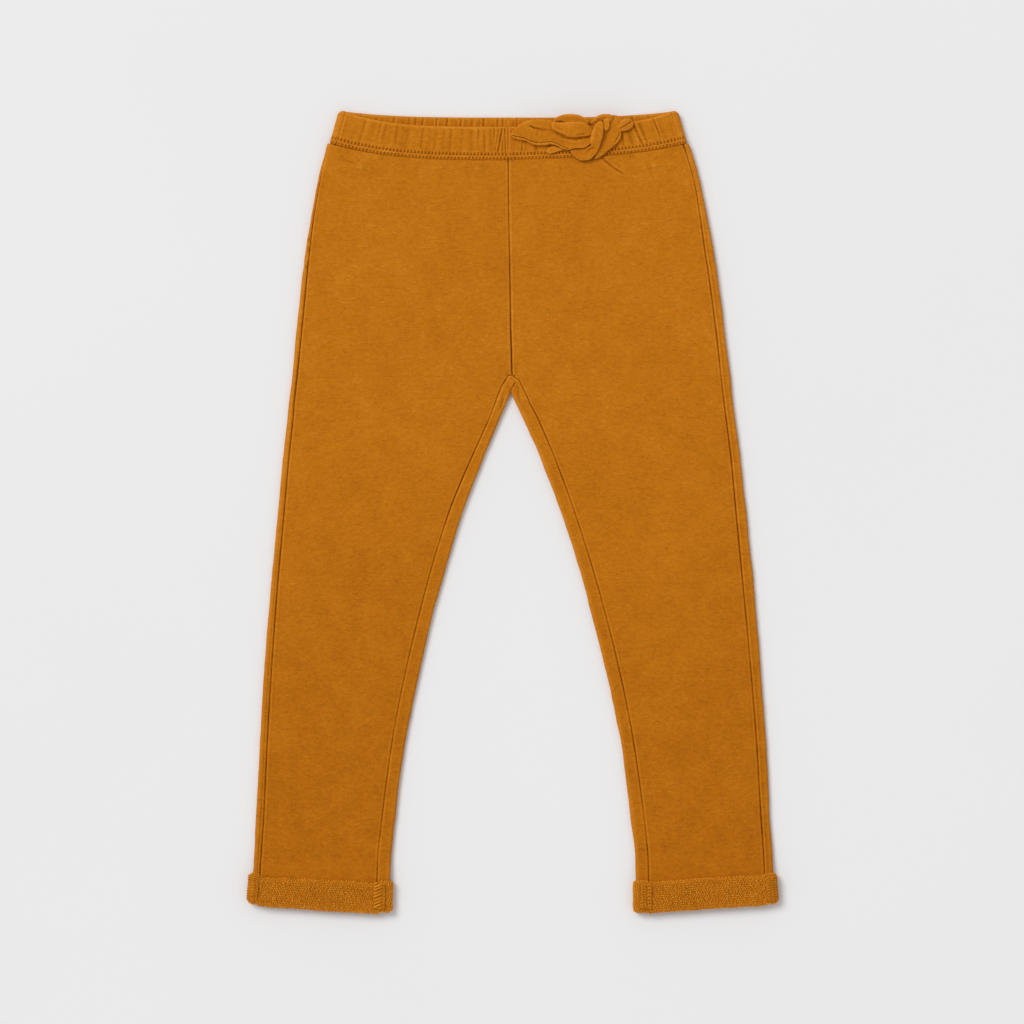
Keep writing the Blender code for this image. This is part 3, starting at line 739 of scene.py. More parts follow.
def front_grid(side):
    """Rows of surface points, from the centre-front seam or the inseam to the side seam."""
    grid = []
    rows = [row for row in rows_down() if not 0.45 < row < 2.42]
    rows = sorted(rows + list(np.arange(0.5, 1, 0.1)) + list(np.arange(1, 2.4, 0.05)))
    finer = slice(*FINER_COLUMNS)
    for row in rows:
        section = Section(side, row)
        inner, outer = section.seam("inner")[0], section.seam("outer")[0] + section.past_fold
        edge = np.array(EDGE_STEPS)
        flat = np.linspace(inner + 5.4, outer - 5.4, FRONT_COLUMNS)
        flat = np.sort(np.concatenate([flat, (flat[finer] + flat[finer.start + 1 : finer.stop + 1]) / 2]))
        x = np.concatenate([inner + edge, flat, outer - edge[::-1]])
        share = (x - inner) / (outer - inner)
        swell = section.crown * (1 - (2 * share - 1) ** 4)
        lift = swell + seam_roll(np.minimum(x - inner, outer - x))
        over_fold = np.clip(x - section.end[0], 0, None)
        points = section.place(section.plan(x), section.over + lift)
        round_it = over_fold > 0
        angles = math.pi / 2 - over_fold / section.round
        if round_it.any() and section.past_fold:
            points[round_it] = [section.fold(section.end, section.side_normal, np.array([a]), up)[0]
                                for a, up in zip(angles[round_it], lift[round_it])]
        points[:, 1] += waist_rise(side, x) * max(0, 1 - row)
        grid.append(points)
    grid = np.array(grid)
    lean(grid, *FRONT_LEAN)
    return grid


def front_panel(side):
    grid = front_grid(side)
    there = np.ones(grid.shape[:2], bool)
    uvs = cloth_coordinates(grid, len(EDGE_STEPS) + FRONT_COLUMNS // 2)[there]
    piece = make_mesh(f"front_{side}_cloth", grid[there], grid_faces(there, side == "left"), uvs, JERSEY)
    width = len(grid[0])
    number = np.arange(len(piece.data.vertices))
    from_edge = np.minimum(number % width, width - 1 - number % width)
    near_seam = np.exp(-((from_edge / 11.0) ** 2)) * np.clip(from_edge / 4, 0, 1)
    from_top = lengths_along(grid[:, width // 2])[number // width]

    def height(points, normals):
        x, y = points.T[:2]
        waves = (0.30 * SOFT_WAVES(x, y) + 0.10 * SMALL_WAVES(x, y)) * np.clip(from_top / 8, 0, 1)
        puckers = 0.16 * near_seam * PUCKERS(x, y)
        ripples = 0.30 * np.exp(-from_top / 9) * np.clip(from_top / 1.5, 0, 1) * PUCKERS(x * 0.8, y * 0.12)
        total = waves + puckers + ripples + shoulder(normals, y)
        return total + dips(x, y, FRONT_CREASES[side])

    finish_panel(piece, height, f"front_{side}")


for side in SIDES:
    front_panel(side)


# ---------------------------------------------------------------------------------------- The waistband
# A casing of the same cloth, folded over elastic that gathers it, in four quarters: two in front, and two
# behind that wrap round the sides. It stands open a little, so the back's inner face shows above the front.
CASING = 2.8  # two layers of cloth with the elastic between them
BAND_SIDE_LOW, BAND_SIDE_HIGH = 116.3, 110.2
BAND_END_Y = 261.2
BAND_FRONT_Y, BAND_BACK_Y = 250.2, 256.4
BAND_SAG = {"front": (3.1, 3.9), "back": (3.1, 3.4)}  # how late the two edges turn up at the sides
BAND_SEAM = 4.6
BAND_STEP = 0.46
BAND_HEIGHT = 21.6
INNER_STEPS = 16  # points down a casing's inner face
FACE_END = 30  # points of a casing's section from the end of its outer face onwards
SOFTER = {"front": (0.60, 1.5), "back": (0.8, 1.1)}  # away from the middle, gathers are this deep and wide
SOFTER_FROM = 12
BACK_SPAN = 0.1, 1.2  # the span of the height that every gather of the back has
BAND_GAP = 0.06  # between the band and the panels
STITCH_ROWS = (0.95, 3.75)  # above the band's lower edge
STITCH_PITCH = 2.3
HOLE = 0.50, 1.05, 1.0  # half width, half height and depth of the dent at each needle hole

# The deepest gathers of each quarter: how far from the centre seam, how much further out at the top, half
# width, depth, and in front the share of the band's height that it starts and ends at.
GATHERS = {
    ("front", "right"): (
        (2.1, 0.8, 0.36, 0.55, -0.3, 1.2), (5.9, -3.6, 0.50, 0.95, -0.2, 1.1),
        (9.9, -0.8, 0.50, 0.45, 0.55, 1.2), (16.0, 0.8, 0.75, 0.45, -0.3, 0.9),
        (20.6, -0.6, 0.60, 0.30, 0.5, 1.2), (24.5, 1.8, 1.30, 0.42, -0.2, 1.1),
        (31.4, -0.8, 1.10, 0.36, -0.2, 1.2), (39.0, 0.3, 0.90, 0.42, -0.2, 1.2),
        (48.9, -0.4, 1.10, 0.40, -0.2, 1.2), (58.0, 0.5, 1.00, 0.40, 0.1, 1.2),
        (67.8, 0.4, 1.30, 0.32, -0.2, 1.1), (75.4, 0.8, 0.80, 0.34, 0.1, 1.2),
        (84.0, -0.7, 1.00, 0.34, 0.2, 1.2), (87.2, -0.8, 0.70, 0.30, 0.3, 1.2),
        (98.2, -1.8, 0.90, 0.32, -0.2, 1.2),
    ),
    ("front", "left"): (
        (9.2, 0.6, 0.50, 0.45, -0.3, 0.55), (18.5, 0.6, 1.0, 0.40, -0.3, 1.2),
        (27.5, -0.6, 0.8, 0.45, -0.3, 1.2), (37.6, 0.4, 1.0, 0.45, -0.3, 1.2),
        (47.0, 0.0, 0.8, 0.40, -0.3, 1.2), (57.4, 1.0, 1.0, 0.45, -0.3, 1.2),
        (66.6, 0.0, 0.9, 0.36, -0.3, 1.2), (76.2, 0.4, 0.80, 0.42, -0.3, 0.8),
        (81.6, -3.6, 0.90, 0.25, 0.0, 1.2), (87.2, -4.6, 0.60, 0.85, -0.2, 1.2),
        (90.6, -2.4, 1.00, 0.40, -0.2, 1.1), (100.4, -2.6, 0.40, 0.60, 0.3, 1.2),
        (104.2, -1.4, 1.50, 0.25, -0.2, 1.1),
    ),
    ("back", "right"): (
        (3.7, 0.2, 0.45, 0.42), (7.3, 0.3, 0.60, 0.50), (16.7, 0.4, 0.70, 0.55), (24.8, 0.2, 1.00, 0.35),
        (32.6, -0.4, 0.70, 0.45), (41.7, 0.3, 0.80, 0.45), (48.9, 0.2, 0.50, 0.55),
        (58.6, -0.2, 0.70, 0.40), (63.2, 0.3, 0.60, 0.34), (67.7, 0.4, 0.90, 0.30),
        (78.3, -0.3, 1.00, 0.35), (90.0, 0.3, 1.10, 0.30), (101.0, 0.2, 1.00, 0.30),
    ),
    ("back", "left"): (
        (5.9, 0.2, 0.50, 0.50), (14.0, 0.3, 0.80, 0.40), (22.5, -0.3, 0.90, 0.45),
        (31.2, 0.2, 0.70, 0.40), (38.9, 0.3, 0.90, 0.45), (52.0, -0.2, 0.80, 0.40),
        (60.4, 0.3, 0.90, 0.42), (72.0, 0.0, 1.00, 0.36), (84.5, 0.2, 0.80, 0.40),
        (96.0, -0.2, 1.10, 0.30),
    ),
}


def band_edges(side, layer):
    """The band's lower and upper edges in plan, at shares of the way to its side fold, and the way out."""
    body = Section(side, 0, back=layer == "back")
    reach = CASING + GAP / 2
    low_end = np.array((BAND_SIDE_LOW, body.side_y + BAND_GAP))
    high_end = np.array((BAND_SIDE_HIGH, BAND_END_Y))
    run = high_end - low_end
    out = np.array((run[1], -run[0])) / np.hypot(*run)
    ends = low_end - reach * out, high_end - reach * out
    middles = body.mid_y + BAND_GAP, BAND_BACK_Y if layer == "back" else BAND_FRONT_Y

    def edge(k, share):
        share = np.asarray(share, float)
        x = between(SEAM_GAP / 2, ends[k][0], share)
        y = between(middles[k], ends[k][1], share ** BAND_SAG[layer][k])
        if layer == "front" and k == 0:
            y = y + waist_rise(side, x)
        return np.stack([x, y], -1)

    return lambda share: edge(0, share), lambda share: edge(1, share), out


def casing_outline(height):
    """Round a casing's section, up its outer face and down its inner face: how far up, and how deep."""
    bend = CASING / 2
    face = np.concatenate([np.arange(0.75, 5.2, 0.42), np.arange(5.6, height - bend - 0.3, 0.75)])
    turn = np.linspace(-math.pi / 2, math.pi / 2, 11)
    up = np.concatenate([[0, 0, 0.04, 0.16, 0.4], face, height - bend + bend * np.cos(turn)])
    deep = np.concatenate([[1.2, 0.35, 0.10, 0.02, 0], 0 * face, bend + bend * np.sin(turn)])
    inner = np.linspace(height - bend - 0.8, 0, INNER_STEPS)
    return np.concatenate([up, inner]) / height, np.concatenate([deep, np.full(len(inner), CASING)])


def gathering(layer, side, distance, up):
    """How far the gathers raise a casing's face, at distances out and shares of its height."""
    softer, wider = SOFTER[layer]
    rise = 0.10 * np.cos(2 * math.pi * distance / 8.7 + 3 * np.sin(distance / 31))
    rise = rise + 0.18 * PUCKERS(distance * 0.75 + 900, up * 3.0)
    rise = rise + 0.12 * SMALL_WAVES(distance * 2, up * 14)
    for at, slant, width, depth, *span in GATHERS[layer, side]:
        start, end = span or BACK_SPAN
        line = at + slant * (up - 0.5)
        fade = np.clip((up - start) / 0.3, 0, 1) * np.clip((end - up) / 0.25, 0, 1)
        if at > SOFTER_FROM:
            depth, width = depth * softer, width * wider
        away = (distance - line) / width
        beside = 0.4 * np.exp(-(((np.abs(away) - 2.1) / 1.2) ** 2))
        rise = rise + fade * depth * (beside - np.exp(-(away**2)))
    lumps = 0.26 * PUCKERS(distance * 1.35, 40 + 0 * up) * np.exp(-(((up - 0.97) / 0.10) ** 2))
    held = np.clip((up * BAND_HEIGHT - 3.2) / 3.0, 0.25, 1)
    return rise * held + lumps


def sewing(distance, up_mm):
    """Dents at the needle holes of both rows, and the rib of cloth that they pinch up between them."""
    phase = (distance / STITCH_PITCH + 0.5) % 1 - 0.5
    shape = 0.20 * np.exp(-(((up_mm - sum(STITCH_ROWS) / 2) / 0.95) ** 2))
    for k, row in enumerate(STITCH_ROWS):
        offset = (phase + 0.5 + 0.4 * k) % 1 - 0.5
        dent = np.exp(-((offset * STITCH_PITCH / HOLE[0]) ** 2)) * np.exp(-(((up_mm - row) / HOLE[1]) ** 2))
        shape = shape - HOLE[2] * dent - 0.10 * np.exp(-(((up_mm - row) / 0.7) ** 2))
    return shape


def band(side, layer):
    low, high, out = band_edges(side, layer)
    radius = CASING + GAP / 2
    centre = Section(side, 0).centre
    length = low(1)[0]
    seam = 1 - (BAND_SEAM - radius) / length
    gap = SEAM_GAP / 2 / length
    back = layer == "back"
    end = 1 if back else seam - gap
    share = np.linspace(0, end, round(length / BAND_STEP))
    angle = np.full(len(share), -math.pi / 2 if back else math.pi / 2)
    distance = share * length
    if back:
        turn = np.linspace(-math.pi / 2, math.pi / 2, 21)[1:]
        onto = np.linspace(1, seam + gap, 5)[1:]
        share = np.concatenate([share, np.ones(len(turn)), onto])
        angle = np.concatenate([angle, turn, np.full(len(onto), math.pi / 2)])
        round_side = length + (turn + math.pi / 2) * radius
        distance = np.concatenate([distance, round_side, length + math.pi * radius + (1 - onto) * length])
    height = float(high(0)[1] - low(0)[1])
    up, deep = casing_outline(height)
    d, u = np.meshgrid(distance, up, indexing="ij")
    inwards = (deep / CASING - 0.6) / 0.3
    outer = (np.arange(len(up)) < len(up) - INNER_STEPS) * np.clip(-inwards, 0, 1)
    inner = np.clip(inwards, 0, 1) * np.clip(u * 4, 0, 1)
    face = gathering(layer, side, d, u)
    outside, inside = (0.35, 1.0) if back else (1.0, 0.4)
    lift = outer * (face * outside + sewing(d, u * height)) - inner * face * inside
    for at in (0.0, distance[-1]):
        lift = lift + outer * np.minimum(seam_roll(np.abs(d - at)) * (0.7 if at == 0 else 0.45), 0.1)
    reach = radius - deep[None, :] + lift
    base = between(low(share)[:, None], high(share)[:, None], u[..., None])
    plan = base + (reach * np.cos(angle)[:, None])[..., None] * out
    tuck = 2.0 * np.clip(np.cos(angle), 0, 1)[:, None] ** 3 * u**6
    plan = plan - tuck[..., None] * unit(high(1) - low(1))
    z = radius + reach * np.sin(angle)[:, None]
    grid = np.stack([centre + SIDES[side] * plan[..., 0], plan[..., 1], z], -1)
    along_section = lengths_along(np.stack([up * height, deep], -1))
    uvs = np.stack([d, np.broadcast_to(along_section, d.shape)], -1)
    piece = tube(f"band_{layer}_{side}_cloth", grid, uvs, JERSEY, side == "left")
    mark_wear_and_painted_light(piece, share=np.clip((u * height - 0.6) / 0.6, 0, 1).ravel())
    keep(piece, "terry_face", f"band_{layer}_{side}")
    return piece, grid, distance, up * height


def tube(name, grid, uvs, finish, flip=False):
    """A closed tube from its rings of points, with a flat face at each end and every face outwards."""
    rows, count = grid.shape[:2]
    faces = grid_faces(np.ones((rows, count), bool), flip, wrap=True)
    made = make_mesh(name, grid.reshape(-1, 3), faces, uvs.reshape(-1, 2), finish)
    work = bmesh.new()
    work.from_mesh(made.data)
    work.verts.ensure_lookup_table()
    for start in (0, (rows - 1) * count):
        work.faces.new(work.verts[start : start + count])
    bmesh.ops.recalc_face_normals(work, faces=work.faces)
    work.to_mesh(made.data)
    work.free()
    made.data.shade_smooth()
    return made


BANDS = {}
for layer, cut in (("back", (0.150, 0.025)), ("front", (0.135, 0.025))):
    for side in SIDES:
        BANDS[layer, side] = band(side, layer)


# ----------------------------------------------------------------------------------- The waist's sewing
# Two rows of coverstitch join the band to the panels all the way round, in thread that took the same dye. At
# the centre front their ends overlap in a short thick bar.
THREAD_SHADES = ((0.0, (0.30, 0.085, 0.003)), (0.45, (0.56, 0.19, 0.008)), (1.0, (0.80, 0.36, 0.045)))
THREAD_TWIST = 0.7 * MM
STITCH = 1.60, 0.20, 0.30  # length, rise and half thickness of one stitch
BAR = 5.2, 1.75  # how far the overlap reaches from the centre, and its height above the band's lower edge


def yarn_finish(name, shades, twist, roughness):
    """Yarn or thread: slanting strands that follow it, and loose fibres."""
    finish, board = new_finish(name)
    run = board.node("ShaderNodeAttribute", output=2, attribute_name="run")
    around = board.node("ShaderNodeAttribute", output=2, attribute_name="around")
    place = board.node("ShaderNodeTexCoord", output=3)
    fibre = board.node("ShaderNodeTexNoise", {"Vector": place, "Scale": 2600.0, "Detail": 2.0})
    patch = board.node("ShaderNodeTexNoise", {"Vector": place, "Scale": 240.0, "Detail": 2.0})
    strand = board.maths("SINE", (run / twist + around) * (2 * math.pi))
    tone = 0.5 + strand * 0.10 + (fibre - 0.5) * 0.45 + (patch - 0.5) * 0.5
    board.finish_with(
        tone, shades, roughness + fibre * 0.1, strand * 0.5 + fibre, 0.6, 0.0001,
        Specular_IOR_Level=0.25, Specular_Tint=GLOSS_TINT,
    )
    return finish


def new_recipe(name, sockets):
    """A Geometry Nodes tree with named inputs, as a board, and the values of those inputs."""
    tree = bpy.data.node_groups.new(name, "GeometryNodeTree")
    for label, kind in {"Carrier": "Geometry", **sockets, "Finish": "Material"}.items():
        tree.interface.new_socket(label, in_out="INPUT", socket_type=f"NodeSocket{kind}")
    tree.interface.new_socket("Made", in_out="OUTPUT", socket_type="NodeSocketGeometry")
    board = Board(tree)
    start = tree.nodes.new("NodeGroupInput")
    return board, [Value(board, socket) for socket in start.outputs if socket.name]


def ended(board, geometry, finish):
    """Ends a recipe: its instances made real, in their finish."""
    real = board.node("GeometryNodeRealizeInstances", {"Geometry": geometry})
    made = board.node("GeometryNodeSetMaterial", {"Geometry": real, "Material": finish})
    board.node("NodeGroupOutput", {0: made})
    return board.tree


def yarn_recipe():
    """Turns the lines of a carrier into yarn, as thick as its points say."""
    board, (lines, sides, finish) = new_recipe("yarn", {"Sides": "Int"})

    def stored(curve, name, output):
        inputs = {"Geometry": curve, "Name": name}
        inputs["Value"] = board.node("GeometryNodeSplineParameter", output=output)
        return board.node("GeometryNodeStoreNamedAttribute", inputs)

    line = stored(board.node("GeometryNodeMeshToCurve", {"Mesh": lines}), "run", 1)
    circle = board.node("GeometryNodeCurvePrimitiveCircle", {"Resolution": sides, "Radius": 1.0})
    thick = board.node("GeometryNodeInputNamedAttribute", {"Name": "thick"})
    inputs = {"Curve": line, "Profile Curve": stored(circle, "around", 0), "Scale": thick, "Fill Caps": True}
    yarn = board.node("GeometryNodeCurveToMesh", inputs)
    return ended(board, board.node("GeometryNodeSetShadeSmooth", {"Geometry": yarn}), finish)


def laid_recipe():
    """Lays a part on every point of a carrier, along its way and out of its surface, each a bit different."""
    sockets = {"Part": "Object", "Turn": "Float", "Least": "Float", "Most": "Float", "Seed": "Int"}
    board, (points, part, turn, least, most, seed, finish) = new_recipe("laid", sockets)

    def facing(name, axis, **more):
        stored = board.node("GeometryNodeInputNamedAttribute", {"Name": name}, data_type="FLOAT_VECTOR")
        kind = "FunctionNodeAlignRotationToVector"
        return board.node(kind, {"Vector": stored, **more}, axis=axis, pivot_axis="X" if more else "AUTO")

    def chance(low, high, number):
        return board.node("FunctionNodeRandomValue", {2: low, 3: high, "Seed": seed + number}, output=1)

    turned = facing("out", "Z", Rotation=facing("way", "X"))
    swing = {"Axis": (0, 0, 1), "Angle": chance(0 - turn, turn, 1)}
    inputs = {"Rotation": turned, "Rotate By": board.node("FunctionNodeAxisAngleToRotation", swing)}
    turned = board.node("FunctionNodeRotateRotation", inputs, rotation_space="LOCAL")
    shape = board.node("GeometryNodeObjectInfo", {"Object": part}, output=4)
    inputs = {"Points": points, "Instance": shape, "Rotation": turned, "Scale": chance(least, most, 2)}
    return ended(board, board.node("GeometryNodeInstanceOnPoints", inputs), finish)


def carrier(points, edges=(), **stored):
    """Bare points or lines in millimetres, with values stored on the points."""
    mesh = bpy.data.meshes.new("carrier")
    mesh.from_pydata((np.asarray(points) * MM).tolist(), [tuple(map(int, edge)) for edge in edges], [])
    for name, values in stored.items():
        values = np.asarray(values, np.float32)
        kind, field = ("FLOAT", "value") if values.ndim == 1 else ("FLOAT_VECTOR", "vector")
        mesh.attributes.new(name, kind, "POINT").data.foreach_set(field, values.ravel())
    return put("carrier", mesh)


def grow(name, base, recipe, **inputs):
    """Runs a recipe on a carrier and keeps the result as a plain mesh in its place."""
    modifier = base.modifiers.new("recipe", "NODES")
    modifier.node_group = recipe
    for socket in recipe.interface.items_tree:
        if socket.in_out == "INPUT" and socket.name in inputs:
            modifier[socket.identifier] = inputs[socket.name]
    mesh = bpy.data.meshes.new_from_object(base.evaluated_get(bpy.context.evaluated_depsgraph_get()))
    bpy.data.objects.remove(base)
    mesh.name = name
    return put(name, mesh)


YARN, LAID = yarn_recipe(), laid_recipe()
THREAD = yarn_finish("thread", THREAD_SHADES, THREAD_TWIST, 0.62)


def yarns(name, paths, thick, finish, sides=6):
    """Lengths of yarn along paths in millimetres, a little thinner at their ends."""
    edges, radii, start = [], [], 0
    for path in paths:
        count = len(path)
        edges += [(start + k, start + k + 1) for k in range(count - 1)]
        ends = np.minimum(np.arange(count), np.arange(count)[::-1])
        radii.append(thick * np.where(ends == 0, 0.55, np.where(ends == 1, 0.9, 1.0)))
        start += count
    base = carrier(np.concatenate(paths), edges, thick=np.concatenate(radii) * MM)
    return grow(name, base, YARN, Sides=sides, Finish=finish)


def arch(name, length, rise, thick, finish, sides=6):
    """One stitch or loop, as a part to lay: an arch along X whose ends go down into the cloth."""
    t = np.linspace(-1, 1, 5)
    path = np.stack([t * length / 2, 0 * t, rise * (1 - 1.6 * t * t) - 0.1 * thick], -1)
    return yarns(name, [path], thick, finish, sides)


def on_grid(grid, i, j):
    """Points at fractional places of a grid, and the ways along its rows' and its columns' numbers."""
    i, j = np.broadcast_arrays(np.asarray(i, float), np.asarray(j, float))
    low = np.clip(np.floor(i).astype(int), 0, len(grid) - 2)
    left = np.floor(j).astype(int)
    right = (left + 1) % grid.shape[1]
    s, t = (i - low)[..., None], (j - left)[..., None]
    a, b, c, d = grid[low, left], grid[low + 1, left], grid[low, right], grid[low + 1, right]
    return between(between(a, b, s), between(c, d, s), t), between(b - a, d - c, t), between(c - a, d - b, s)


PRESSED, PRESSED_SOFT = 0.3, 0.4  # below this height cloth is pressed towards the table, as softly as this


def rest(piece):
    """Presses whatever would go below the table flat against it, softly."""
    points = points_of(piece)
    low = points[:, 2] < PRESSED
    points[low, 2] = PRESSED * np.exp((points[low, 2] - PRESSED) / PRESSED_SOFT)
    move_to(piece, points)


def waist_stitches(layer, side):
    """The stitches of both rows on one quarter of the band."""
    _, grid, distance, up = BANDS[layer, side]
    face = up[:-FACE_END]
    places = []
    for k, row in enumerate(STITCH_ROWS):
        first = STITCH_PITCH * (0.5 - 0.4 * k)
        places += [(d, row, 1.0) for d in np.arange(first, distance[-1] - 0.6, STITCH_PITCH) if d > 0.4]
    if layer == "front":
        places += [(d, BAR[1], 1.15) for d in np.arange(0.9, BAR[0], 1.5)]
    d, high, _ = np.array(places).T
    i = np.interp(d, distance, np.arange(len(distance)))
    j = np.interp(high, face, np.arange(len(face)))
    points, way, aside = on_grid(grid, i, j)
    out = unit(np.cross(way, aside)) * SIDES[side] * (1 if layer == "front" else -1)
    kept = np.abs(out[:, 2]) > 0.4
    return (points + 0.22 * out)[kept], unit(way)[kept], out[kept]


stitch = arch("stitch", *STITCH, THREAD)
for layer in ("front", "back"):
    quarters = [waist_stitches(layer, side) for side in SIDES]
    points, ways, outs = (np.concatenate(part) for part in zip(*quarters))
    row = grow(
        f"waist_{layer}_stitches", carrier(points, way=ways, out=outs), LAID,
        Part=stitch, Turn=0.06, Least=0.92, Most=1.08, Seed=3, Finish=THREAD,
    )
    rest(row)
    keep(row, "thread")
bpy.data.objects.remove(stitch)


# -------------------------------------------------------------------------------------------- The cuffs
# The end of each leg is turned up once, so the inside of the French terry shows: rows of short loops of
# soft yarn. The cuff is one ring of cloth folded round the leg's end, and only its seams hold it up.
CUFF_STEP, CUFF_WIDTH = 0.9, 91
CUFF_CORNER = 0.9, 0.9  # how far its upper and lower edges round off at the sides
CUFF_SAG = {"right": (1.9, 1.3), "left": (1.0, 0.8)}  # between the seams both edges sag by so much
LOOP_PITCH = 1.60, 1.50  # across and down the cuff
LOOP = 1.50, 0.62, 0.46  # length, rise and half thickness of one loop
LOOP_JITTER = 0.30
PILE_END = 5  # so many points into the turn at the hem the pile ends
CREASED_END = 7  # and so many points into it the cloth's unevenness does
PILE_ROW, PILE_COLUMN = 12, 0.7  # the row and the share of the way round where the pile is spaced
# On the terry's own colour, the loops are painted lighter, a painted highlight on them, and the ground between
# them darker, painted shade in the pits.
LOOP_SHADES = ((0.0, (0.46, 0.145, 0.005)), (0.45, (0.76, 0.285, 0.016)), (1.0, (1.0, 0.58, 0.11)))
PIT_SHADES = (
    (0.00, (0.150, 0.042, 0.0015)),
    (0.30, (0.330, 0.100, 0.0030)),
    (0.55, (0.470, 0.150, 0.0060)),
    (1.00, (0.740, 0.300, 0.0200)),
)


def hook():
    """Round a cuff's section: how far above the hem's fold, how far out, and how many
    of its points are before the turn at the hem."""
    outside, inside = GAP + CUFF, -CLOTH
    edge = CUFF / 2
    top = np.linspace(math.pi, 0, 8)
    face = np.arange(CUFF_HEIGHT - edge - CUFF_STEP, HEM_ROUND + 0.3, -CUFF_STEP)
    turn = np.linspace(0, math.pi, 9)
    wall = np.linspace(math.pi, 0, 4)
    rise = np.linspace(HEM_ROUND + 2, CUFF_HEIGHT - edge - 2, 7)
    up = np.concatenate([
        CUFF_HEIGHT - edge + edge * np.sin(top), face, HEM_ROUND * (1 - np.sin(turn)),
        HEM_ROUND - GAP / 2 * np.sin(wall), rise,
    ])
    out = np.concatenate([
        GAP + edge + edge * np.cos(top), 0 * face + outside,
        (outside + inside) / 2 + HEM_ROUND * np.cos(turn), GAP / 2 * (1 + np.cos(wall)), 0 * rise + GAP,
    ])
    return up, out, len(top) + len(face)


def cuff_grid(side):
    up, out, _ = hook()
    count, turns = round(CUFF_WIDTH / CUFF_STEP), 16
    grid = []
    for rise, offset in zip(up, out):
        section = Section(side, CUFF_TOP)
        high, low = section.ring(offset, count, turns), Section(side, HEM).ring(offset, count, turns)
        depth = np.clip(np.abs(high[:, 2] - section.middle) / (section.round + offset), 0, 1)
        sideways = (1 - depth**2) ** 2
        wave = 0.45 * SMALL_WAVES(high[:, 0] * 1.4, high[:, 1] + 5)
        above, below = CUFF_CORNER[0] * sideways - wave, CUFF_CORNER[1] * sideways
        rise = below + rise * (1 - (above + below) / CUFF_HEIGHT)
        inner, outer = section.seam("inner")[0] - 3, section.seam("outer")[0] + 1
        where = np.abs(high[:, 0] - section.centre)
        middle = np.clip((where - inner) / 2.5, 0, 1) * np.clip((outer - where) / 2.5, 0, 1)
        middle = middle * (high[:, 2] > section.middle)
        rise = rise - middle * between(CUFF_SAG[side][1], CUFF_SAG[side][0], rise / CUFF_HEIGHT)
        grid.append(between(low, high, (rise / CUFF_HEIGHT)[:, None]))
    return np.array(grid)


def ring_faces(rows, columns, flip):
    """The quads of a grid that closes on itself both ways."""
    number = np.arange(rows * columns).reshape(rows, columns)
    below, right = np.roll(number, -1, 0), np.roll(number, -1, 1)
    quads = np.stack([number, right, np.roll(below, -1, 1), below], -1).reshape(-1, 4)
    return quads[:, ::-1] if flip else quads


def cuff(side):
    before_turn = hook()[2]
    grid = cuff_grid(side)
    rows, columns = grid.shape[:2]
    uvs = cloth_coordinates(grid, 10).reshape(-1, 2)
    faces = ring_faces(rows, columns, side == "right")
    piece = make_mesh(f"cuff_{side}_cloth", grid.reshape(-1, 3), faces, uvs, PITS)
    on_show = np.repeat(np.arange(rows) < before_turn + CREASED_END, columns)

    def height(points, normals):
        x, y, z = points.T
        return on_show * (0.30 * SMALL_WAVES(x * 1.2, y * 1.2 + z) + 0.16 * PUCKERS(x + z, y))

    shape_cloth(piece, height)
    rest(piece)
    mark_wear_and_painted_light(piece)
    keep(piece, "terry_loops", f"cuff_{side}")

    grid = points_of(piece).reshape(rows, columns, 3)
    down = lengths_along(grid[:, round(columns * PILE_COLUMN)])
    round_it = lengths_along(np.concatenate([grid[PILE_ROW], grid[PILE_ROW, :1]]))
    chance = np.random.default_rng(21 + SIDES[side])
    places = []
    for k, line in enumerate(np.arange(0.9, down[before_turn + PILE_END], LOOP_PITCH[1])):
        across = np.arange(0, round_it[-1] - 0.5, LOOP_PITCH[0]) + (k % 2) * LOOP_PITCH[0] / 2
        places.append(np.stack([np.full(len(across), line), across], -1))
    places = np.concatenate(places)
    places = places + chance.uniform(-LOOP_JITTER, LOOP_JITTER, places.shape)
    i = np.interp(places[:, 0], down, np.arange(rows))
    j = np.interp(places[:, 1] % round_it[-1], round_it, np.arange(columns + 1)) % columns
    points, way, aside = on_grid(grid, i, j)
    out = unit(np.cross(aside, way)) * -SIDES[side]
    sink = 0.16 * PUCKERS(points[:, 0] * 1.7, points[:, 1] * 1.7) - 0.05
    base = carrier(points + sink[:, None] * out, way=unit(way), out=out)
    pile = grow(
        f"cuff_{side}_loops", base, LAID,
        Part=LOOP_PART, Turn=0.7, Least=0.75, Most=1.2, Seed=11, Finish=LOOP_YARN,
    )
    rest(pile)
    keep(pile, "terry_loops")


PITS = jersey("terry_ground", PIT_SHADES)
LOOP_YARN = yarn_finish("terry_loops", LOOP_SHADES, 1.1 * MM, 0.85)
LOOP_PART = arch("loop", *LOOP, LOOP_YARN, 4)
for side in SIDES:
    cuff(side)
bpy.data.objects.remove(LOOP_PART)


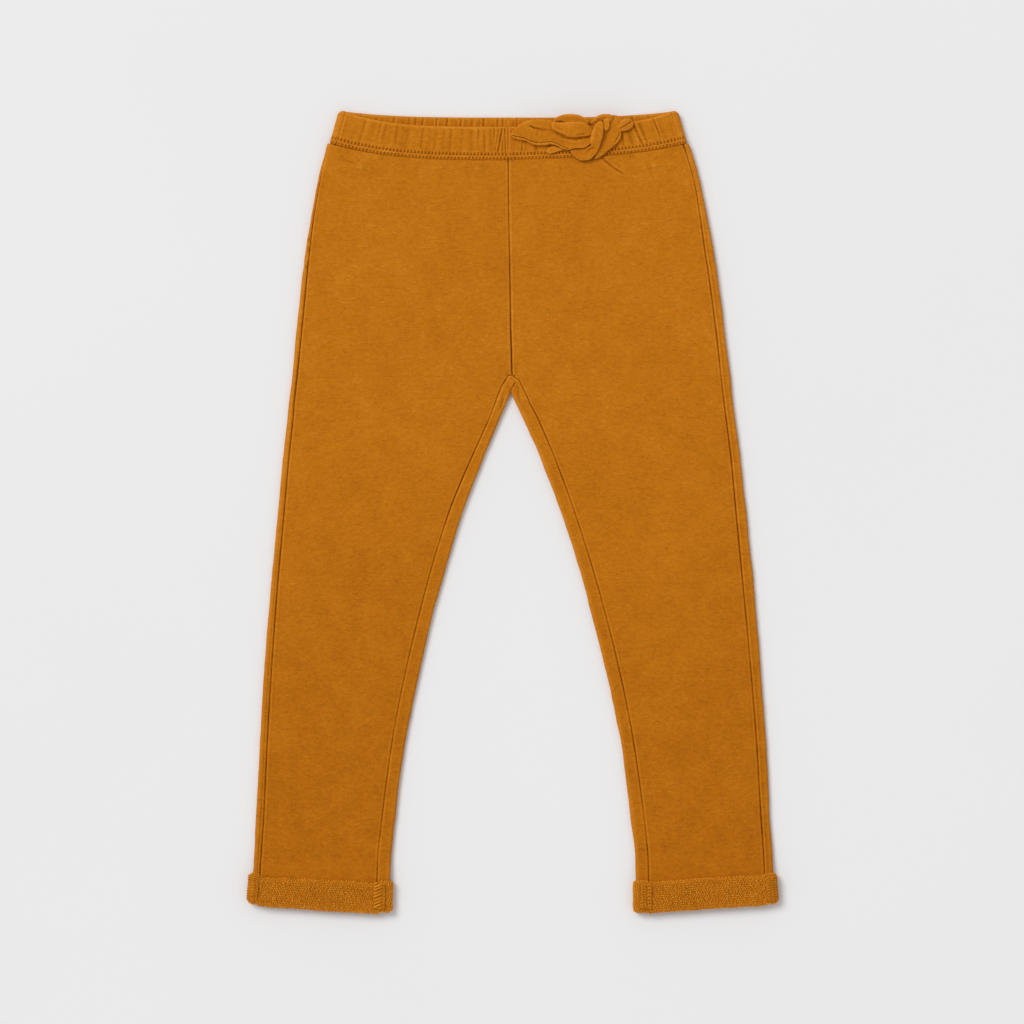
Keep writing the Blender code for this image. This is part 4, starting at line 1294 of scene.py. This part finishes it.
# -------------------------------------------------------------------------- The allowances on the cuffs
# Where a leg's seams cross its cuff, their overlocked edges stand outside: a narrow strip of doubled cloth
# that is wrapped in slanting thread, with a chain of thread along one edge.
ALLOWANCE_INSET = 1.0  # from the upper and lower edges of the cuff
ALLOWANCE_LOW = GAP + CUFF + 0.12
ALLOWANCE_HIGH = GAP + CUFF + 0.95
ALLOWANCES = {
    # from the seam towards the fold: the strip, then its columns of short strokes of thread. Each column has
    # the distances where a stroke starts and ends, the pitch, how far it climbs, and its half thickness.
    ("right", "inner"): ((-2.0, 5.4), (
        (-1.9, 3.7, 2.05, 2.6, 0.74), (4.1, 4.7, 1.7, 1.2, 0.36), (5.3, 4.8, 1.7, 1.2, 0.36),
    )),
    ("left", "inner"): ((-2.0, 5.4), (
        (-1.3, -0.2, 2.1, 1.5, 0.52), (0.9, -0.1, 2.1, 1.5, 0.52), (1.8, 3.3, 1.6, 0.9, 0.46),
        (5.0, 3.6, 1.6, 0.8, 0.46),
    )),
    ("right", "outer"): ((0.3, 6.0), (
        (0.6, 1.2, 1.6, 1.2, 0.36), (1.9, 1.3, 1.6, 1.2, 0.36), (2.4, 3.8, 1.5, 0.9, 0.44),
        (5.5, 4.1, 1.5, 0.9, 0.44),
    )),
    ("left", "outer"): ((0.3, 6.0), (
        (0.8, 1.7, 1.8, 1.3, 0.40), (2.6, 1.8, 1.8, 1.3, 0.40), (3.1, 4.2, 1.5, 0.9, 0.42),
        (5.7, 4.5, 1.5, 0.8, 0.42),
    )),
}


def squared(angles, power):
    """The two coordinates round an ellipse that is fuller the smaller the power is."""
    return (np.sign(f) * np.abs(f) ** power for f in (np.cos(angles), np.sin(angles)))


def allowance(side, edge):
    (first, last), columns = ALLOWANCES[side, edge]
    top, bottom = CUFF_HEIGHT - ALLOWANCE_INSET, HEM_ROUND * 0.4 + ALLOWANCE_INSET

    def at(distance, up, offset):
        return Section(side, row_at(up)).past_seam(edge, distance, offset)

    angles = np.linspace(0, 2 * math.pi, 28, endpoint=False)
    wide, tall = squared(angles, 0.7)
    levels = np.linspace(top, bottom, 24)
    grid = []
    for k, up in enumerate(levels):
        share = min(1, 0.55 + 0.25 * min(k, len(levels) - 1 - k))
        centre, half = (first + last) / 2, (last - first) / 2 * (0.93 + 0.07 * share)
        depth = (ALLOWANCE_HIGH - ALLOWANCE_LOW) / 2 * share
        grid.append([at(centre + half * w, up, ALLOWANCE_LOW + depth * (1 + t)) for w, t in zip(wide, tall)])
    grid = np.array(grid)
    strip_piece = tube("strip", grid, cloth_coordinates(grid, 5), PITS)
    mark_wear_and_painted_light(strip_piece)

    chance = np.random.default_rng(40 + SIDES[side])
    share = np.linspace(0, 1, 8)
    parts = [strip_piece]
    for from_here, to_here, pitch, climb, thick in columns:
        strokes = []
        for start in np.arange(bottom + 0.2 - 0.5 * climb, top - 0.2, pitch):
            up = start + (climb + chance.uniform(-0.3, 0.3)) * share + chance.uniform(-0.2, 0.2)
            inside = (up > bottom + 0.2) & (up < top - 0.1)
            if inside.sum() < 4:
                continue
            offset = ALLOWANCE_HIGH + 0.45 * np.sin(math.pi * share) ** 0.6 - 0.15
            offset = offset + chance.uniform(-0.12, 0.12)
            distance = between(from_here, to_here, share) + chance.uniform(-0.12, 0.12)
            places = np.stack([distance, up, offset], -1)[inside]
            strokes.append(np.array([at(*place) for place in places]))
        parts.append(yarns("strokes", strokes, thick, THREAD))

    made = join(f"allowance_{side}_{edge}_sewing", parts)
    keep(made, "thread", f"allowance_{side}_{edge}")


def join(name, parts):
    """Puts the meshes of several parts together in one piece, and drops the parts."""
    work = bmesh.new()
    finishes = []
    for part in parts:
        held = part.data.materials[0]
        if held not in finishes:
            finishes.append(held)
        start = len(work.faces)
        work.from_mesh(part.data)
        work.faces.ensure_lookup_table()
        for face in work.faces[start:]:
            face.material_index = finishes.index(held)
            face.smooth = True
    mesh = bpy.data.meshes.new(name)
    work.to_mesh(mesh)
    work.free()
    for held in finishes:
        mesh.materials.append(held)
    for part in parts:
        bpy.data.objects.remove(part)
    return put(name, mesh)


for side in SIDES:
    for edge in ("outer", "inner"):
        allowance(side, edge)


# ---------------------------------------------------------------------------------------------- The bow
# A soft flat tie of the same cloth, folded and stitched, comes out of the band left of the middle and is tied
# in a small bow: two loops, two ends and the strap of the knot that comes down over them.
BOW_STEP = 0.5
BOW_CREASE = 1.3  # how deep its creases are, of what the table says
PLUMP = 0.62  # below 1, a section is fuller than an ellipse

# For each piece of the tie, its bodies as rows along it. A row has the two edges in plan, their heights (or
# one height for both), and half the thickness between them.
BOW = {
    "stub": ((
        (22.4, 235.1, 22.7, 233.4, 6.9, 0.4), (23.9, 236.8, 24.3, 232.2, 7.1, 0.8),
        (26.8, 237.2, 27.5, 233.1, 7.1, 0.8), (29.9, 236.3, 30.5, 234.1, 7.0, 0.7),
        (32.5, 235.2, 32.7, 234.7, 6.9, 0.4),
    ),),
    "tail_left": ((
        (-1.5, 245.0, -1.4, 244.1, 7.0, 0.4), (0.3, 247.6, 0.9, 242.4, 7.3, 0.9),
        (2.9, 249.9, 4.5, 241.3, 7.5, 1.1), (6.2, 252.3, 8.5, 240.7, 7.7, 1.2),
        (10.1, 253.9, 12.3, 238.7, 7.8, 1.25), (14.3, 254.5, 16.6, 237.7, 7.8, 1.25),
        (18.9, 254.6, 20.8, 237.8, 7.8, 1.25), (23.1, 254.3, 25.0, 238.4, 7.8, 1.25),
        (27.0, 253.2, 28.6, 237.6, 7.8, 1.25), (30.9, 251.6, 32.2, 235.7, 7.8, 1.25),
        (35.4, 249.9, 36.1, 234.8, 7.9, 8.9, 1.25), (40.6, 249.0, 41.0, 235.7, 8.0, 9.9, 1.3),
        (45.8, 248.3, 45.8, 235.8, 8.0, 10.2, 1.3), (50.4, 247.3, 50.4, 238.3, 7.9, 10.0, 1.1),
        (53.3, 246.0, 53.6, 240.8, 7.7, 9.4, 0.8),
    ),),
    "loop_left": ((
        (25.4, 251.9, 25.5, 249.6, 10.2, 0.8), (26.1, 252.5, 26.1, 248.2, 10.4, 1.2),
        (27.9, 252.6, 28.0, 246.8, 10.7, 1.6), (30.6, 252.4, 30.7, 245.4, 11.0, 1.85),
        (34.0, 252.4, 33.9, 244.1, 11.1, 2.0), (37.4, 252.7, 37.0, 242.8, 11.2, 2.05),
        (41.0, 252.9, 40.8, 242.6, 11.2, 2.05), (44.2, 252.7, 44.4, 243.2, 11.1, 2.0),
        (46.9, 252.3, 47.3, 243.3, 10.9, 1.8), (48.9, 251.2, 49.4, 243.7, 10.6, 10.8, 1.5),
        (50.6, 249.8, 51.0, 244.2, 10.3, 10.5, 1.2), (52.0, 248.2, 52.2, 245.6, 10.0, 10.2, 0.7),
    ),),
    "loop_back": ((
        (26.2, 254.0, 27.3, 252.8, 7.2, 0.9), (27.9, 255.8, 29.6, 253.5, 7.3, 1.2),
        (30.9, 257.1, 32.2, 253.3, 7.3, 1.3), (34.0, 257.9, 34.8, 252.2, 7.4, 1.35),
        (37.6, 258.2, 37.6, 251.2, 7.5, 1.4), (41.2, 258.1, 41.2, 250.9, 7.5, 1.4),
        (44.2, 257.3, 44.2, 250.9, 7.5, 1.3), (47.1, 255.6, 47.1, 251.2, 7.5, 1.2),
        (49.5, 253.5, 49.1, 251.6, 7.4, 0.9),
    ),),
    "knot": ((
        (55.2, 253.0, 58.2, 253.0, 10.7, 0.9), (53.9, 251.5, 59.1, 251.4, 11.0, 1.5),
        (52.6, 249.0, 59.2, 249.3, 11.1, 1.8), (51.5, 246.3, 59.0, 246.3, 11.2, 1.8),
        (50.8, 243.4, 58.6, 243.2, 11.1, 1.8), (50.3, 240.5, 57.7, 239.9, 10.9, 1.8),
        (50.9, 238.0, 56.6, 236.7, 10.2, 10.4, 1.7), (49.4, 236.9, 55.1, 233.3, 8.7, 9.5, 1.6),
        (46.6, 236.4, 52.6, 230.2, 7.7, 8.8, 1.5), (43.7, 236.2, 49.1, 228.0, 7.3, 8.4, 1.5),
        (41.4, 235.9, 45.2, 227.8, 7.2, 8.2, 1.4), (39.4, 235.5, 41.7, 229.2, 7.3, 8.0, 1.25),
        (38.0, 235.0, 39.3, 231.5, 7.2, 7.6, 1.0), (37.4, 234.2, 37.9, 233.3, 7.1, 7.2, 0.6),
    ),),
    "tail_right": (
        (
            (53.0, 229.5, 54.6, 229.0, 7.3, 7.1, 0.7), (54.6, 232.7, 58.3, 231.1, 7.6, 7.4, 1.1),
            (56.2, 236.9, 61.8, 234.1, 7.8, 7.7, 1.25), (57.4, 240.8, 65.5, 237.1, 7.9, 1.3),
            (58.2, 244.7, 69.0, 240.8, 7.9, 1.3), (58.7, 248.0, 70.5, 244.5, 7.9, 8.0, 1.3),
            (59.5, 250.9, 70.6, 247.3, 7.8, 8.0, 1.3), (60.5, 253.5, 70.1, 250.2, 7.6, 8.0, 1.25),
            (61.4, 255.5, 70.7, 252.9, 7.4, 7.9, 1.15), (62.9, 256.8, 70.9, 254.7, 7.3, 7.7, 1.0),
            (65.0, 257.5, 69.0, 256.6, 7.2, 7.4, 0.7),
        ),
        (
            (67.6, 248.6, 68.6, 248.0, 8.2, 0.6), (69.2, 251.6, 70.7, 249.5, 8.6, 1.1),
            (70.9, 254.1, 72.7, 250.6, 8.8, 8.7, 1.3), (73.2, 255.3, 74.7, 251.9, 8.6, 1.3),
            (75.5, 255.2, 76.4, 252.9, 8.2, 1.1), (77.2, 254.4, 77.8, 253.3, 7.8, 0.6),
        ),
        (
            (69.2, 248.5, 70.2, 247.1, 7.7, 7.6, 0.6), (71.0, 249.8, 72.6, 247.1, 7.8, 7.6, 1.0),
            (73.1, 251.0, 75.0, 247.7, 7.7, 7.5, 1.1), (75.1, 252.2, 77.2, 249.1, 7.6, 7.4, 1.0),
            (76.8, 252.9, 78.5, 250.8, 7.4, 7.2, 0.8), (77.9, 253.2, 78.7, 252.1, 7.2, 7.1, 0.5),
        ),
    ),
    "loop_right": (
        (
            (50.3, 252.1, 52.1, 251.6, 8.0, 0.8), (51.1, 253.8, 53.6, 252.6, 8.6, 1.1),
            (53.2, 255.6, 55.4, 253.4, 8.9, 9.0, 1.2), (55.6, 257.1, 57.3, 254.0, 9.0, 9.3, 1.25),
            (58.5, 258.0, 58.8, 254.3, 9.1, 9.5, 1.25), (61.4, 258.1, 61.0, 254.2, 9.1, 9.6, 1.2),
            (64.0, 257.6, 62.6, 253.4, 9.1, 9.5, 1.0), (65.5, 256.2, 63.5, 252.8, 8.9, 9.2, 0.7),
        ),
        (
            (59.0, 254.6, 62.5, 255.0, 9.9, 0.8), (59.1, 252.9, 63.1, 252.8, 10.3, 1.1),
            (59.2, 250.2, 63.0, 249.9, 10.3, 1.15), (59.4, 248.2, 62.1, 247.8, 10.1, 1.0),
            (59.9, 247.1, 60.9, 246.8, 9.8, 0.6),
        ),
    ),
}
# Creases and the stitched edge: line, width, depth, lip, side of the lip, and how late they fade.
BOW_CREASES = {
    "tail_left": (
        (((-1.2, 244.3), (3.9, 243.3), (7.5, 242.6), (11.7, 240.5), (15.9, 239.5), (20.7, 239.7),
          (25.5, 240.2), (29.2, 238.9), (32.8, 236.9), (36.6, 235.3)), 0.32, 0.85, 0.22, 1, 0.25),
        (((11.1, 250.7), (13.5, 249.2), (17.7, 248.3), (21.3, 247.8), (24.6, 247.2), (27.9, 246.0),
          (30.9, 244.5), (34.0, 243.0), (37.6, 241.6), (41.8, 241.5), (44.8, 242.2), (49.9, 243.0)),
         0.70, 1.20, 0.35, -1, 0.25),
        (((17.8, 249.0), (16.1, 246.7), (15.8, 243.4)), 0.7, 0.22, 0.0, 1, 0.6),
    ),
    "loop_left": (
        (((27.0, 250.4), (29.5, 248.6), (33.5, 247.4)), 1.1, 0.22, 0.0, 1, 0.6),
        (((40.0, 243.6), (44.0, 244.4), (48.0, 245.0)), 0.9, 0.25, 0.1, 1, 0.6),
    ),
    "knot": (
        (((54.0, 236.3), (50.5, 235.2), (46.5, 232.6)), 1.2, 0.30, 0.15, 1, 0.6),
        (((55.6, 249.5), (54.6, 245.0), (54.2, 241.0)), 1.3, 0.20, 0.0, 1, 0.6),
    ),
    "tail_right": (
        (((62.0, 252.0), (61.0, 246.0), (59.8, 240.0)), 1.4, 0.30, 0.0, 1, 0.6),
        (((69.8, 246.8), (68.6, 243.0), (65.8, 239.0)), 0.8, 0.30, 0.15, 1, 0.5),
    ),
    "loop_right": ((((54.6, 253.9), (58.1, 254.9), (60.4, 255.4), (61.8, 256.4)), 0.5, 0.45, 0.15, 1, 0.4),),
    "loop_back": ((((34.0, 254.6), (39.0, 255.2), (44.5, 254.2)), 1.3, 0.25, 0.0, 1, 0.6),),
}


def leaf(rows):
    """A soft flattened body along a table of rows: its rings of points, from end to end."""
    table = np.array([row if len(row) == 7 else (*row[:5], *row[4:]) for row in rows])
    last = len(table) - 1
    middles = (table[:, :2] + table[:, 2:4]) / 2
    counts = np.maximum(1, np.round(np.hypot(*np.diff(middles, axis=0).T) / BOW_STEP)).astype(int)
    stops = [k + n / counts[k] for k in range(last) for n in range(counts[k])] + [last]
    width = np.hypot(*(table[:, 2:4] - table[:, :2]).T).max()
    angles = np.linspace(0, 2 * math.pi, max(16, 2 * round(width * 1.25 / BOW_STEP)), endpoint=False)
    wide, tall = squared(angles, PLUMP)
    rings = []
    for stop in stops:
        x1, y1, x2, y2, z1, z2, half = (along(table[:, c], stop) for c in range(7))
        one, two = np.array((x1, y1, z1)), np.array((x2, y2, z2))
        across = wide[:, None] * (one - two) / 2
        rings.append((one + two) / 2 + across + tall[:, None] * np.array((0, 0, half)))
    for end, next_in in ((0, 1), (-1, -2)):
        centre = rings[end].mean(0)
        onwards = unit(centre - rings[next_in].mean(0))
        tip = centre + 0.5 * (rings[end] - centre) + 0.3 * onwards
        rings = [tip] + rings if end == 0 else rings + [tip]
    return np.array(rings)


def bow_piece(name):
    parts = []
    for rows in BOW[name]:
        grid = leaf(rows)
        part = tube(f"bow_{name}_part", grid, cloth_coordinates(grid, grid.shape[1] // 4), TIE)

        def height(points, normals):
            x, y, z = points.T
            total = 0.12 * SMALL_WAVES(x * 2, y * 2 + z) + 0.06 * PUCKERS(x * 2, y * 2)
            creases = dips(x, y, BOW_CREASES.get(name, ())) * np.clip(normals[:, 2] * 2, 0, 1)
            return total + BOW_CREASE * creases

        shape_cloth(part, height)
        # The bow's creases get stronger painted shade, and its ridges a stronger painted highlight.
        mark_wear_and_painted_light(part, scale=0.30, share=1.5)
        parts.append(part)
    made = join(f"bow_{name}_cloth", parts)
    keep(made, "terry_face", f"bow_{name}")


TIE = jersey("tie_face")
for name in BOW:
    bow_piece(name)
